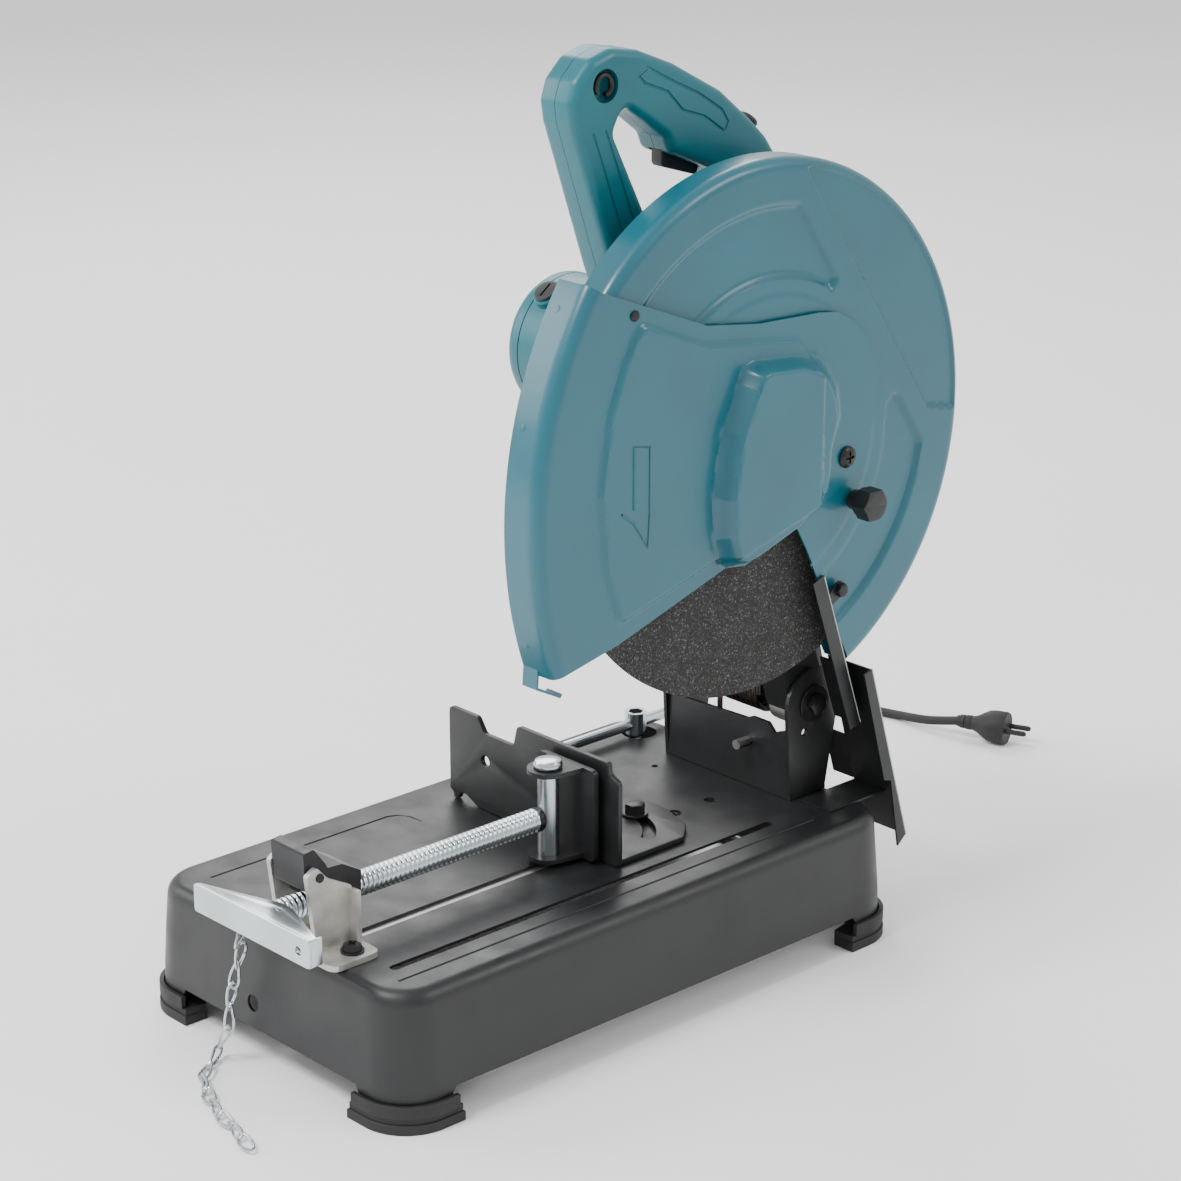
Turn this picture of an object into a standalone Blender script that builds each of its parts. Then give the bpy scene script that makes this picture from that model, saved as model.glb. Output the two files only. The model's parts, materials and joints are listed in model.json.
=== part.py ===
"""Abrasive chop saw, 355 mm wheel: pressed base with vise, tilting head with guards, motor and handle.

Metres, +Z up, floor at z = 0. The operator stands at -Y and the wheel cover faces +X.
"""

import math

import bmesh
import bpy
from mathutils import Matrix, Vector

# Driving sizes
GAP = 0.0003
RUNNING = 0.00005
TRAY_TOP = 0.095
TRAY_EDGE = 0.0247
LEG_BOTTOM = 0.012
HALF_X = 0.1374
HALF_Y = 0.2314
CORNER = 0.032
WHEEL_X = 0.0905
WHEEL_RADIUS = 0.1775
WHEEL_THICK = 0.003
SPINDLE = (0.1213, 0.3793)
GEAR_CENTRES = 0.0355
MOTOR = (SPINDLE[0], SPINDLE[1] + GEAR_CENTRES)
HEAD_PIVOT = (0.207, 0.165)
SAFETY_PIVOT = (0.195, 0.359)
SAFETY_RADIUS = 0.285
GUARD_RADIUS = 0.195
GUARD_FACE = 0.106
GUARD_BACK = 0.0816
SCREW_AXIS = (0.0315, 0.1275)
TRUNNION = (0.034, -0.013)
FENCE_PIVOT = (0.018, 0.032)
FENCE_CLAMP = (0.0225, 0.0798)
HALF_NUT_PIVOT = (-0.2217, 0.1505)
KNOB = (0.204, 0.3265)
SEAM = 0.035

COLOURS = {
    "teal": ((0.0, 0.21, 0.28), 0.0, 0.4),
    "black": ((0.02, 0.021, 0.023), 0.1, 0.5),
    "zinc": ((0.62, 0.66, 0.68), 1.0, 0.3),
    "cast": ((0.5, 0.49, 0.46), 1.0, 0.5),
    "steel": ((0.35, 0.35, 0.36), 1.0, 0.35),
    "grit": ((0.045, 0.043, 0.043), 0.0, 0.9),
    "rubber": ((0.015, 0.015, 0.016), 0.0, 0.8),
    "copper": ((0.6, 0.28, 0.14), 1.0, 0.4),
    "brass": ((0.6, 0.48, 0.2), 1.0, 0.35),
}

PLANES = {
    "XY": Matrix.Identity(4),
    "YZ": Matrix(((0, 0, 1, 0), (1, 0, 0, 0), (0, 1, 0, 0), (0, 0, 0, 1))),
    "XZ": Matrix(((1, 0, 0, 0), (0, 0, -1, 0), (0, 1, 0, 0), (0, 0, 0, 1))),
}
AXES = {
    "X": PLANES["YZ"],
    "Y": Matrix(((0, 1, 0, 0), (0, 0, 1, 0), (1, 0, 0, 0), (0, 0, 0, 1))),
    "Z": Matrix.Identity(4),
}

for old in list(bpy.data.objects):
    bpy.data.objects.remove(old, do_unlink=True)
SAW = bpy.data.collections.new("abrasive_chop_saw")
CUTTERS = bpy.data.collections.new("cutters")
bpy.context.scene.collection.children.link(SAW)
bpy.context.scene.collection.children.link(CUTTERS)


# Outlines: lists of (u, v) points
def circle(centre, radius, steps=24, start=0.0, end=2 * math.pi):
    count = steps if end - start > 6.28 else steps + 1
    turn = (end - start) / steps
    return [
        (centre[0] + radius * math.cos(start + turn * i), centre[1] + radius * math.sin(start + turn * i))
        for i in range(count)
    ]


def arc(centre, radius, start_deg, end_deg, steps=12):
    turn = (end_deg - start_deg) / steps
    angles = [math.radians(start_deg + turn * i) for i in range(steps + 1)]
    return [(centre[0] + radius * math.cos(a), centre[1] + radius * math.sin(a)) for a in angles]


def hull(*circles, steps=32):
    """Outline of the smallest convex shape round circles given as (u, v, radius)."""
    points = sorted(p for u, v, radius in circles for p in circle((u, v), radius, steps))

    def half(ordered):
        chain = []
        for p in ordered:
            while len(chain) > 1:
                ax, ay = chain[-1][0] - chain[-2][0], chain[-1][1] - chain[-2][1]
                bx, by = p[0] - chain[-2][0], p[1] - chain[-2][1]
                if ax * by - ay * bx > 1e-12:
                    break
                chain.pop()
            chain.append(p)
        return chain[:-1]

    return half(points) + half(points[::-1])


def rounded(outline, radius, steps=4):
    """The outline with each corner replaced by an arc, smaller where the sides are short."""
    result = []
    count = len(outline)
    for i, corner in enumerate(outline):
        here = Vector(corner)
        before = Vector(outline[i - 1]) - here
        after = Vector(outline[(i + 1) % count]) - here
        angle = before.angle(after)
        if angle > math.radians(165):
            result.append(corner)
            continue
        reach = min(radius / math.tan(angle / 2), 0.45 * before.length, 0.45 * after.length)
        first = here + before.normalized() * reach
        last = here + after.normalized() * reach
        for step in range(steps + 1):
            t = step / steps
            point = first * (1 - t) ** 2 + here * 2 * t * (1 - t) + last * t**2
            result.append((point.x, point.y))
    return result


def box_outline(low, high):
    return [(low[0], low[1]), (high[0], low[1]), (high[0], high[1]), (low[0], high[1])]


def inset(outline, distance):
    """Moves each side of a counter-clockwise outline inwards."""
    result = []
    count = len(outline)
    for i, corner in enumerate(outline):
        here = Vector(corner)
        a = (here - Vector(outline[i - 1])).normalized()
        b = (Vector(outline[(i + 1) % count]) - here).normalized()
        normal = (Vector((-a.y, a.x)) + Vector((-b.y, b.x))).normalized()
        stretch = max(0.4, normal.dot(Vector((-a.y, a.x))))
        point = here + normal * (distance / stretch)
        result.append((point.x, point.y))
    return result


# Solids
def add(name, mesh, helper=False):
    mesh.name = name
    mesh.shade_smooth()
    mesh.set_sharp_from_angle(angle=math.radians(32))
    obj = bpy.data.objects.new(name, mesh)
    if helper:
        CUTTERS.objects.link(obj)
        obj.hide_render = True
        obj.display_type = "WIRE"
    else:
        SAW.objects.link(obj)
    return obj


def facing_out(mesh):
    work = bmesh.new()
    work.from_mesh(mesh)
    bmesh.ops.remove_doubles(work, verts=work.verts, dist=1e-6)
    bmesh.ops.recalc_face_normals(work, faces=work.faces)
    if work.calc_volume(signed=True) < 0:
        bmesh.ops.reverse_faces(work, faces=work.faces)
    work.to_mesh(mesh)
    work.free()
    return mesh


def baked(obj):
    """The evaluated mesh of a temporary object, which is removed."""
    bpy.context.view_layer.update()
    graph = bpy.context.evaluated_depsgraph_get()
    mesh = bpy.data.meshes.new_from_object(obj.evaluated_get(graph))
    data = obj.data
    bpy.data.objects.remove(obj, do_unlink=True)
    if isinstance(data, bpy.types.Curve):
        bpy.data.curves.remove(data)
    else:
        bpy.data.meshes.remove(data)
    return mesh


def flat(name, outline, low, high, plane="XY", holes=(), bevel=0.0, helper=False):
    """A plate of this outline between two heights along the plane's normal."""
    curve = bpy.data.curves.new(name, "CURVE")
    curve.dimensions = "2D"
    curve.fill_mode = "BOTH"
    curve.extrude = (high - low) / 2 - bevel
    curve.bevel_depth = bevel
    curve.bevel_resolution = 1
    curve.offset = -bevel
    for loop in (outline, *holes):
        spline = curve.splines.new("POLY")
        spline.points.add(len(loop) - 1)
        for point, (u, v) in zip(spline.points, loop):
            point.co = (u, v, 0.0, 1.0)
        spline.use_cyclic_u = True
    obj = bpy.data.objects.new(name, curve)
    SAW.objects.link(obj)
    mesh = baked(obj)
    middle = (low + high) / 2
    if plane == "XZ":
        middle = -middle
    mesh.transform(PLANES[plane] @ Matrix.Translation((0, 0, middle)))
    return add(name, facing_out(mesh), helper)


def turned(name, profile, axis="Z", centre=(0, 0), steps=32, place=None, helper=False):
    """A solid of revolution. The profile is a list of (radius, height along the axis)."""
    work = bmesh.new()
    verts = [work.verts.new((radius, 0, height)) for radius, height in profile]
    for a, b in zip(verts, verts[1:]):
        work.edges.new((a, b))
    if profile[0][0] > 0:
        work.edges.new((verts[-1], verts[0]))
    mesh = bpy.data.meshes.new(name)
    work.to_mesh(mesh)
    work.free()
    obj = bpy.data.objects.new(name, mesh)
    SAW.objects.link(obj)
    screw = obj.modifiers.new("Turn", "SCREW")
    screw.axis = "Z"
    screw.steps = steps
    screw.render_steps = steps
    screw.use_merge_vertices = True
    screw.merge_threshold = 0.00001
    mesh = baked(obj)
    if place is None:
        place = AXES[axis]
        u, v = centre
        shift = {"X": (0, u, v), "Y": (u, 0, v), "Z": (u, v, 0)}[axis]
        place = Matrix.Translation(shift) @ place
    mesh.transform(place)
    return add(name, facing_out(mesh), helper)


def rod(name, radius, low, high, axis="X", centre=(0, 0), steps=24, helper=False):
    return turned(name, [(0, low), (radius, low), (radius, high), (0, high)], axis, centre, steps, None, helper)


def ring(name, inner, outer, low, high, axis="X", centre=(0, 0), steps=32):
    return turned(name, [(inner, low), (outer, low), (outer, high), (inner, high)], axis, centre, steps)


def block(name, low, high, bevel=0.0, helper=False):
    work = bmesh.new()
    bmesh.ops.create_cube(work, size=1.0)
    size = [high[i] - low[i] for i in range(3)]
    middle = [(high[i] + low[i]) / 2 for i in range(3)]
    bmesh.ops.scale(work, vec=size, verts=work.verts)
    bmesh.ops.translate(work, vec=middle, verts=work.verts)
    if bevel:
        bmesh.ops.bevel(
            work, geom=list(work.edges), offset=bevel, segments=2, profile=0.5, affect="EDGES"
        )
    mesh = bpy.data.meshes.new(name)
    work.to_mesh(mesh)
    work.free()
    return add(name, facing_out(mesh), helper)


def loft(name, rings, helper=False, cap=True):
    """A skin over rings of equally many points, closed at both ends unless cap is False."""
    work = bmesh.new()
    rows = [[work.verts.new(p) for p in points] for points in rings]
    count = len(rows[0])
    for lower, upper in zip(rows, rows[1:]):
        for i in range(count):
            j = (i + 1) % count
            work.faces.new((lower[i], lower[j], upper[j], upper[i]))
    work.faces.new(rows[-1])
    if cap:
        work.faces.new(rows[0][::-1])
    mesh = bpy.data.meshes.new(name)
    work.to_mesh(mesh)
    work.free()
    return add(name, facing_out(mesh), helper)


def tube(name, points, radius, sides=2, helper=False):
    curve = bpy.data.curves.new(name, "CURVE")
    curve.dimensions = "3D"
    curve.bevel_depth = radius
    curve.bevel_resolution = sides
    curve.use_fill_caps = True
    spline = curve.splines.new("POLY")
    spline.points.add(len(points) - 1)
    for point, place in zip(spline.points, points):
        point.co = (*place, 1.0)
    obj = bpy.data.objects.new(name, curve)
    SAW.objects.link(obj)
    return add(name, facing_out(baked(obj)), helper)


def smooth_path(points, spacing, tightness=0.5):
    """Points every spacing along a Catmull-Rom curve through the given ones."""
    knots = [Vector(p) for p in points]
    knots = [2 * knots[0] - knots[1], *knots, 2 * knots[-1] - knots[-2]]
    dense = []
    for a, b, c, d in zip(knots, knots[1:], knots[2:], knots[3:]):
        leave = (c - a) * tightness
        arrive = (d - b) * tightness
        for step in range(24):
            t = step / 24
            dense.append(
                b * (2 * t**3 - 3 * t**2 + 1)
                + leave * (t**3 - 2 * t**2 + t)
                + c * (-2 * t**3 + 3 * t**2)
                + arrive * (t**3 - t**2)
            )
    dense.append(knots[-2])
    total = sum((b - a).length for a, b in zip(dense, dense[1:]))
    count = max(2, round(total / spacing))
    path = [dense[0]]
    travelled = 0.0
    for a, b in zip(dense, dense[1:]):
        travelled += (b - a).length
        if travelled >= len(path) * total / count and len(path) < count:
            path.append(b)
    path.append(dense[-1])
    return path


def hide(obj):
    for owner in obj.users_collection:
        owner.objects.unlink(obj)
    CUTTERS.objects.link(obj)
    obj.hide_render = True
    obj.display_type = "WIRE"


def boolean(target, other, operation):
    hide(other)
    modifier = target.modifiers.new(other.name, "BOOLEAN")
    modifier.operation = operation
    modifier.solver = "EXACT"
    modifier.object = other
    return target


def cut(target, *cutters):
    for cutter in cutters:
        boolean(target, cutter, "DIFFERENCE")
    return target


def merge(target, *others):
    for other in others:
        boolean(target, other, "UNION")
    return target


def finish(obj, colour, origin=None):
    """Gives the piece its own material, and its origin where it turns or slides."""
    shade, metallic, roughness = COLOURS[colour]
    material = bpy.data.materials.new(obj.name)
    material.use_nodes = True
    shader = material.node_tree.nodes["Principled BSDF"]
    shader.inputs["Base Color"].default_value = (*shade, 1.0)
    shader.inputs["Metallic"].default_value = metallic
    shader.inputs["Roughness"].default_value = roughness
    obj.data.materials.clear()
    obj.data.materials.append(material)
    if origin is not None:
        obj.data.transform(Matrix.Translation([-value for value in origin]))
        obj.location = origin
    return obj


# Base tray: pressed sheet, open underneath, with a leg at each corner
def tray_ring(half_x, half_y, radius, height, leg=None):
    """Corner arcs with two points on each side of them, where the edge steps down to the leg."""
    points = []
    for index, (sx, sy) in enumerate(((1, 1), (-1, 1), (-1, -1), (1, -1))):
        centre = (sx * (half_x - radius), sy * (half_y - radius))
        start = 90 * index
        along = {0: (0, -1), 90: (1, 0), 180: (0, 1), 270: (-1, 0)}[start]
        corner = arc(centre, radius, start, start + 90, 6)
        low = height if leg is None else leg
        u, v = corner[0]
        points.append((u + along[0] * 0.014, v + along[1] * 0.014, height))
        points.append((u + along[0] * 0.006, v + along[1] * 0.006, low))
        points += [(x, y, low) for x, y in corner]
        u, v = corner[-1]
        along = (-along[1], along[0])
        along = (-along[0], -along[1])
        points.append((u - along[0] * -0.006, v - along[1] * -0.006, low))
        points.append((u - along[0] * -0.014, v - along[1] * -0.014, height))
    return points


def base_tray():
    tray = loft(
        "base_tray",
        [
            tray_ring(HALF_X, HALF_Y, CORNER, TRAY_EDGE, LEG_BOTTOM),
            tray_ring(HALF_X - 0.0005, HALF_Y - 0.0005, CORNER, 0.034),
            tray_ring(HALF_X - 0.004, HALF_Y - 0.003, 0.031, 0.084),
            tray_ring(HALF_X - 0.0065, HALF_Y - 0.0045, 0.030, 0.0905),
            tray_ring(HALF_X - 0.0100, HALF_Y - 0.0075, 0.028, 0.0938),
            tray_ring(HALF_X - 0.0144, HALF_Y - 0.0114, 0.025, TRAY_TOP),
        ],
        cap=False,
    )
    sheet = tray.modifiers.new("Sheet", "SOLIDIFY")
    sheet.thickness = 0.002
    sheet.offset = -1.0
    low, high = 0.085, 0.105
    holes = [
        flat("wheel_slot", rounded(box_outline((0.088, -0.200), (0.095, 0.147)), 0.0034), low, high, helper=True),
        flat("vise_slot", rounded(box_outline((0.0320, -0.186), (0.0412, -0.011)), 0.0045), low, high, helper=True),
        rod("bolt_hole_1", 0.0055, low, high, "Z", (0.0323, 0.109), 16, helper=True),
        rod("bolt_hole_2", 0.0045, low, high, "Z", (0.0328, 0.1446), 16, helper=True),
        rod("bolt_hole_3", 0.0025, low, high, "Z", (-0.0406, 0.160), 12, helper=True),
        rod("wrench_hole", 0.0135, low, high, "Z", (-0.098, 0.1985), 20, helper=True),
        rod("fence_pivot_hole", 0.0043, low, high, "Z", FENCE_PIVOT, 16, helper=True),
        rod("fence_clamp_hole", 0.0041, low, high, "Z", FENCE_CLAMP, 16, helper=True),
        rod("front_hole", 0.0060, -0.240, -0.220, "Y", (-0.016, 0.042), 16, helper=True),
    ]
    return finish(cut(tray, *holes), "black")


def foot(name, sx, sy):
    """Rubber pad under a corner, with a raised rim round the outside of the tray."""
    centre = (HALF_X - CORNER, HALF_Y - CORNER)

    def band(grow, reach):
        corner = arc(centre, CORNER + grow, 0, 90, 6)
        return [(HALF_X + grow, HALF_Y - reach), *corner, (HALF_X - reach, HALF_Y + grow)]

    inner = [(HALF_X - 0.050, HALF_Y - 0.014), (HALF_X - 0.020, HALF_Y - 0.020), (HALF_X - 0.014, HALF_Y - 0.050)]
    pad_outline = band(0.004, 0.050) + inner
    rim_outline = band(0.004, 0.050) + band(0.0004, 0.050)[::-1]
    flip = [(sx * u, sy * v) for u, v in pad_outline]
    rim_flip = [(sx * u, sy * v) for u, v in rim_outline]
    pad = flat(name, flip, 0.0, LEG_BOTTOM - GAP)
    rim = flat(name + "_rim", rim_flip, LEG_BOTTOM - 0.001, 0.020)
    return finish(merge(pad, rim), "rubber")


# Vise
def vise_bracket():
    """Flat foot with two cheeks, drilled for the half nut pin, and a rib outside each cheek."""
    outline = rounded(box_outline((-0.0175, -0.232), (0.0735, -0.1925)), 0.008)
    plate = flat("vise_bracket", outline, TRAY_TOP + GAP, TRAY_TOP + 0.0043)
    cheek = [(-0.2249, 0.0975), (-0.2319, 0.1536), (-0.2241, 0.1585), (-0.2154, 0.1485), (-0.1962, 0.1382), (-0.1929, 0.0975)]
    pieces = []
    for index, (low, high, rib_low, rib_high) in enumerate(
        ((0.0445, 0.0485, 0.0480, 0.0560), (0.0060, 0.0100, 0.0000, 0.0065))
    ):
        side = flat(f"cheek_{index}", rounded(cheek, 0.003), low, high, "YZ")
        cut(side, rod(f"pin_hole_{index}", 0.0030 + 4 * RUNNING, low - 0.01, high + 0.01, "X", HALF_NUT_PIVOT, 16, helper=True))
        rib = block(f"rib_{index}", (rib_low, -0.1985, 0.0975), (rib_high, -0.1945, 0.1360))
        pieces += [side, rib]
    merge(plate, *pieces)
    drills = [
        rod(f"flange_hole_{i}", 0.0036, 0.08, 0.12, "Z", (x, -0.2072), 16, helper=True)
        for i, x in enumerate((0.0615, -0.0085))
    ]
    return finish(cut(plate, *drills), "cast")


def bracket_screw(name, x):
    height = TRAY_TOP + 0.0046
    profile = [
        (0, height - 0.0040), (0.0030, height - 0.0040), (0.0030, height), (0.0075, height),
        (0.0072, height + 0.0030), (0.0052, height + 0.0050), (0, height + 0.0056),
    ]
    return finish(turned(name, profile, "Z", (x, -0.2072), 20), "black")


def vise_screw():
    """Threaded rod with a plain nose at each end."""
    profile = [
        (0, -0.2642), (0.0058, -0.2642), (0.0058, -0.2435), (0.0085, -0.2435),
        (0.0085, -0.0225), (0.00445, -0.0225), (0.00445, -0.0165), (0, -0.0165),
    ]
    obj = turned("vise_screw", profile, "Y", SCREW_AXIS, 24)
    return finish(obj, "zinc", (SCREW_AXIS[0], -0.2435, SCREW_AXIS[1]))


def crank_handle():
    strip = flat(
        "crank_handle", rounded(box_outline((-0.026, 0.117), (0.094, 0.1365)), 0.002), -0.267, -0.2645, "XZ",
        holes=[circle((0.083, 0.1245), 0.0022, 12)],
    )
    web = flat(
        "crank_web",
        [(-0.024, -0.2660), (0.0935, -0.2660), (0.0935, -0.2600), (0.049, -0.2440), (0.036, -0.2440), (-0.024, -0.2635)],
        0.1342, 0.1365, holes=[circle((0.043, -0.2510), 0.0018, 12)],
    )
    end = block("crank_end", (0.0918, -0.2665, 0.1172), (0.0938, -0.2560, 0.1360))
    obj = merge(strip, web, end)
    return finish(obj, "zinc", (SCREW_AXIS[0], -0.2435, SCREW_AXIS[1]))


def trunnion_pin():
    obj = turned(
        "trunnion_pin",
        [(0, 0.0965), (0.0075, 0.0965), (0.0075, 0.1650), (0.0100, 0.1652), (0.0100, 0.1680), (0.0085, 0.1705), (0, 0.1710)],
        "Z", TRUNNION, 24,
    )
    bore = rod("trunnion_bore", 0.0045, -0.030, -0.0155, "Y", SCREW_AXIS, 24, helper=True)
    return finish(cut(obj, bore), "zinc", (*TRUNNION, 0.1275))


def vise_jaw():
    """Bent plate whose upper and lower round ears turn on the trunnion pin."""
    face = flat("vise_jaw", rounded(box_outline((0.005, 0.0975), (0.062, 0.1645)), 0.004), 0.0035, 0.0078, "XZ")
    pieces = []
    for name, low, high in (("ear_low", 0.0985, 0.1015), ("ear_high", 0.1612, 0.1645)):
        outline = hull((*TRUNNION, 0.0145), (0.0190, 0.0030, 0.0030), (0.0480, 0.0030, 0.0030))
        pieces.append(flat(name, outline, low, high))
    merge(face, *pieces)
    bore = rod("jaw_bore", 0.0075 + 4 * RUNNING, 0.090, 0.1648, "Z", TRUNNION, 24, helper=True)
    return finish(cut(face, bore), "black", (*TRUNNION, 0.1275))


def half_nut():
    """Lever that drops over the screw: a saddle behind the pin and a finger plate in front."""
    finger = flat(
        "half_nut",
        rounded([(-0.2300, 0.1412), (-0.2145, 0.1412), (-0.2117, 0.1530), (-0.2129, 0.1560), (-0.2225, 0.1690), (-0.2310, 0.1680)], 0.0015),
        0.0105, 0.0440, "YZ",
    )
    saddle = flat(
        "saddle",
        [(-0.2165, 0.1290), (-0.1850, 0.1290), (-0.1845, 0.1435), (-0.1999, 0.1525), (-0.2165, 0.1535)],
        0.0105, 0.0440, "YZ",
    )
    merge(finger, saddle)
    trough = rod("half_nut_trough", 0.0089, -0.2145, -0.17, "Y", SCREW_AXIS, 24, helper=True)
    mouth = block("half_nut_mouth", (SCREW_AXIS[0] - 0.0089, -0.2400, 0.1200), (SCREW_AXIS[0] + 0.0089, -0.1700, 0.1275), helper=True)
    throat = rod("half_nut_throat", 0.0092, -0.24, -0.2140, "Y", SCREW_AXIS, 24, helper=True)
    cut(finger, trough, mouth, throat)
    merge(finger, rod("half_nut_pin", 0.0030, 0.0050, 0.0495, "X", HALF_NUT_PIVOT, 16))
    return finish(finger, "black", (0.027, *HALF_NUT_PIVOT))


def guide_rail():
    return finish(block("guide_rail", (0.0280, -0.1920, 0.0890), (0.0452, -0.0050, TRAY_TOP - 0.0023)), "cast")


# Guide plate (fence) that swivels for angled cuts
def guide_plate():
    left, right = -0.100, 0.077
    low = TRAY_TOP + GAP
    outline = [
        (left + 0.004, low + 0.004), (left + 0.004, low), (left + 0.009, low), (left + 0.012, low + 0.006),
        (left + 0.018, low + 0.006), (left + 0.030, low), (right, low), (right, 0.158), (0.067, 0.162),
        (0.067, 0.170), (-0.027, 0.170), (-0.031, 0.154), (-0.0615, 0.154), (-0.069, 0.165), (left, 0.165),
        (left, low + 0.006),
    ]
    face = flat("guide_plate", rounded(outline, 0.002, 2), 0.0125, 0.0165, "XZ", holes=[circle((-0.061, 0.133), 0.003, 14)])
    flange = [(-0.060, 0.0135), (0.074, 0.0135), (0.074, 0.078), (0.060, 0.094), (0.030, 0.104), (-0.002, 0.104), (-0.045, 0.060)]
    swivel = FENCE_PIVOT
    slot = arc(swivel, 0.0525, 32, 92, 10) + arc(swivel, 0.0435, 92, 32, 10)
    foot_plate = flat("guide_flange", rounded(flange, 0.006), low, low + 0.004, holes=[slot])
    merge(face, foot_plate)
    bore = rod("guide_bore", 0.0040 + RUNNING, 0.08, 0.12, "Z", swivel, 20, helper=True)
    return finish(cut(face, bore), "black", (*swivel, low))


def hex_bolt(name, centre, shank, head, bottom, seat, top, colour, washer=0.0):
    """Vertical bolt: shank from bottom to seat, an optional washer, and a hexagonal head."""
    body = rod(name, shank, bottom, seat + 0.001, "Z", centre, 20)
    pieces = [flat(name + "_head", circle(centre, head, 6), seat + 0.0005, top)]
    if washer:
        pieces.append(rod(name + "_washer", washer, seat, seat + 0.0015, "Z", centre, 20))
    return finish(merge(body, *pieces), colour)


# Pivot bracket and the parts on the head's pivot axis
def pivot_bracket():
    """Front wall, floor and two cheeks of one bent sheet, with the pivot ears at the rear."""
    low = TRAY_TOP + GAP
    left, right = -0.055, 0.0735
    wall = flat(
        "pivot_bracket",
        [(left, low), (right, low), (right, 0.150), (0.056, 0.143), (0.050, 0.149), (0.034, 0.149), (0.028, 0.1465), (left, 0.1435)],
        0.185, 0.188, "XZ",
    )
    floor = block("bracket_floor", (left, 0.1860, low), (right, 0.2215, low + 0.003))
    y, z = HEAD_PIVOT
    ear = hull((y, z, 0.0265), (0.1875, low + 0.0025, 0.0025), (0.2185, low + 0.0025, 0.0025))
    pieces = [floor]
    for index, (a, b) in enumerate(((left, left + 0.003), (right - 0.003, right))):
        pieces.append(flat(f"bracket_ear_{index}", ear, a, b, "YZ", holes=[circle(HEAD_PIVOT, 0.0083, 20)]))
    merge(wall, *pieces)
    drills = [
        rod("ear_hole", 0.0030, 0.06, 0.09, "X", (0.1985, 0.1447), 12, helper=True),
        rod("stop_hole", 0.0040, 0.17, 0.20, "Y", (0.0310, 0.1297), 16, helper=True),
    ]
    return finish(cut(wall, *drills), "black")


def pivot_shaft():
    obj = rod("pivot_shaft", 0.0080, -0.0590, 0.0735, "X", HEAD_PIVOT, 28)
    bore = rod("pivot_shaft_bore", 0.0043, 0.0550, 0.0800, "X", HEAD_PIVOT, 16, helper=True)
    return finish(cut(obj, bore), "steel")


def pivot_bolt():
    shank = rod("pivot_bolt", 0.0040, 0.0560, 0.0745, "X", HEAD_PIVOT, 16)
    washer = rod("pivot_washer", 0.0140, 0.0738, 0.0753, "X", HEAD_PIVOT, 28)
    head = flat("pivot_head", circle(HEAD_PIVOT, 0.0080, 6), 0.0748, 0.0800, "YZ")
    return finish(merge(shank, washer, head), "black")


def stop_pin():
    return finish(rod("stop_pin", 0.0037, 0.172, 0.194, "Y", (0.0310, 0.1297), 16), "steel")


def torsion_spring():
    """Coils round the arm's sleeve, one leg behind the bracket's wall and one along the arm."""
    y, z = HEAD_PIVOT
    radius, wire, turns, start, pitch = 0.0160, 0.0021, 8, -0.004, 0.0049
    points = [(start, 0.1905, z - 0.034), (start, 0.1905, z - 0.012)]
    for step in range(turns * 14 + 1):
        angle = math.pi + 2 * math.pi * step / 14
        points.append((start + pitch * step / 14, y + radius * math.cos(angle), z + radius * math.sin(angle)))
    end = start + pitch * turns
    points.append((end, y - radius, z + 0.020))
    return finish(tube("torsion_spring", points, wire, 1), "steel")


def lower_spark_guard():
    """Sloping panel behind the wheel with a flange forward on its outer side and a foot on the tray."""
    top, bottom = (0.2165, 0.2010), (0.2585, 0.0630)
    panel = flat(
        "lower_spark_guard",
        [top, bottom, (bottom[0] - 0.0012, bottom[1]), (top[0] - 0.0013, top[1])],
        0.0785, 0.1205, "YZ",
    )
    flange = flat(
        "spark_flange",
        [(top[0] - 0.0005, top[1]), (bottom[0] - 0.0005, bottom[1]), (0.2500, 0.0560), (0.2400, 0.1100), (0.2330, 0.1120), (0.2085, 0.1985)],
        0.1190, 0.1205, "YZ",
    )
    foot_tab = block("spark_foot", (0.0785, 0.1900, TRAY_TOP + GAP), (0.1080, 0.2482, TRAY_TOP + 0.0018))
    return finish(merge(panel, flange, foot_tab), "black")


def wrench():
    """T wrench: a bar with a box socket across it near one end."""
    x, height = -0.098, 0.1035
    bar = rod("wrench", 0.0042, 0.060, 0.235, "Y", (x, height), 16)
    socket = rod("wrench_socket", 0.0082, 0.0790, 0.1130, "Z", (x, 0.195), 24)
    merge(bar, socket)
    hollow_top = flat("wrench_hex", circle((x, 0.195), 0.0058, 6), 0.1000, 0.1200, helper=True)
    hollow_low = flat("wrench_low_hex", circle((x, 0.195), 0.0058, 6), 0.0700, 0.0920, helper=True)
    return finish(cut(bar, hollow_top, hollow_low), "zinc", (x, 0.195, height))


CHAIN = [
    (-0.0145, -0.2190, 0.1040), (-0.0110, -0.2310, 0.1035), (-0.0070, -0.2435, 0.1000), (-0.0090, -0.2440, 0.085),
    (-0.0160, -0.2445, 0.065), (-0.0210, -0.2450, 0.046), (-0.0240, -0.2455, 0.027), (-0.0320, -0.2490, 0.0075),
    (-0.0180, -0.2700, 0.0032), (0.0030, -0.2840, 0.0032), (0.0300, -0.2950, 0.0032), (0.0550, -0.3010, 0.0032),
    (0.0780, -0.3075, 0.0032),
]


def carry_chain():
    return finish(tube("carry_chain", smooth_path(CHAIN, 0.006), 0.0029, 1), "zinc")


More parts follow.
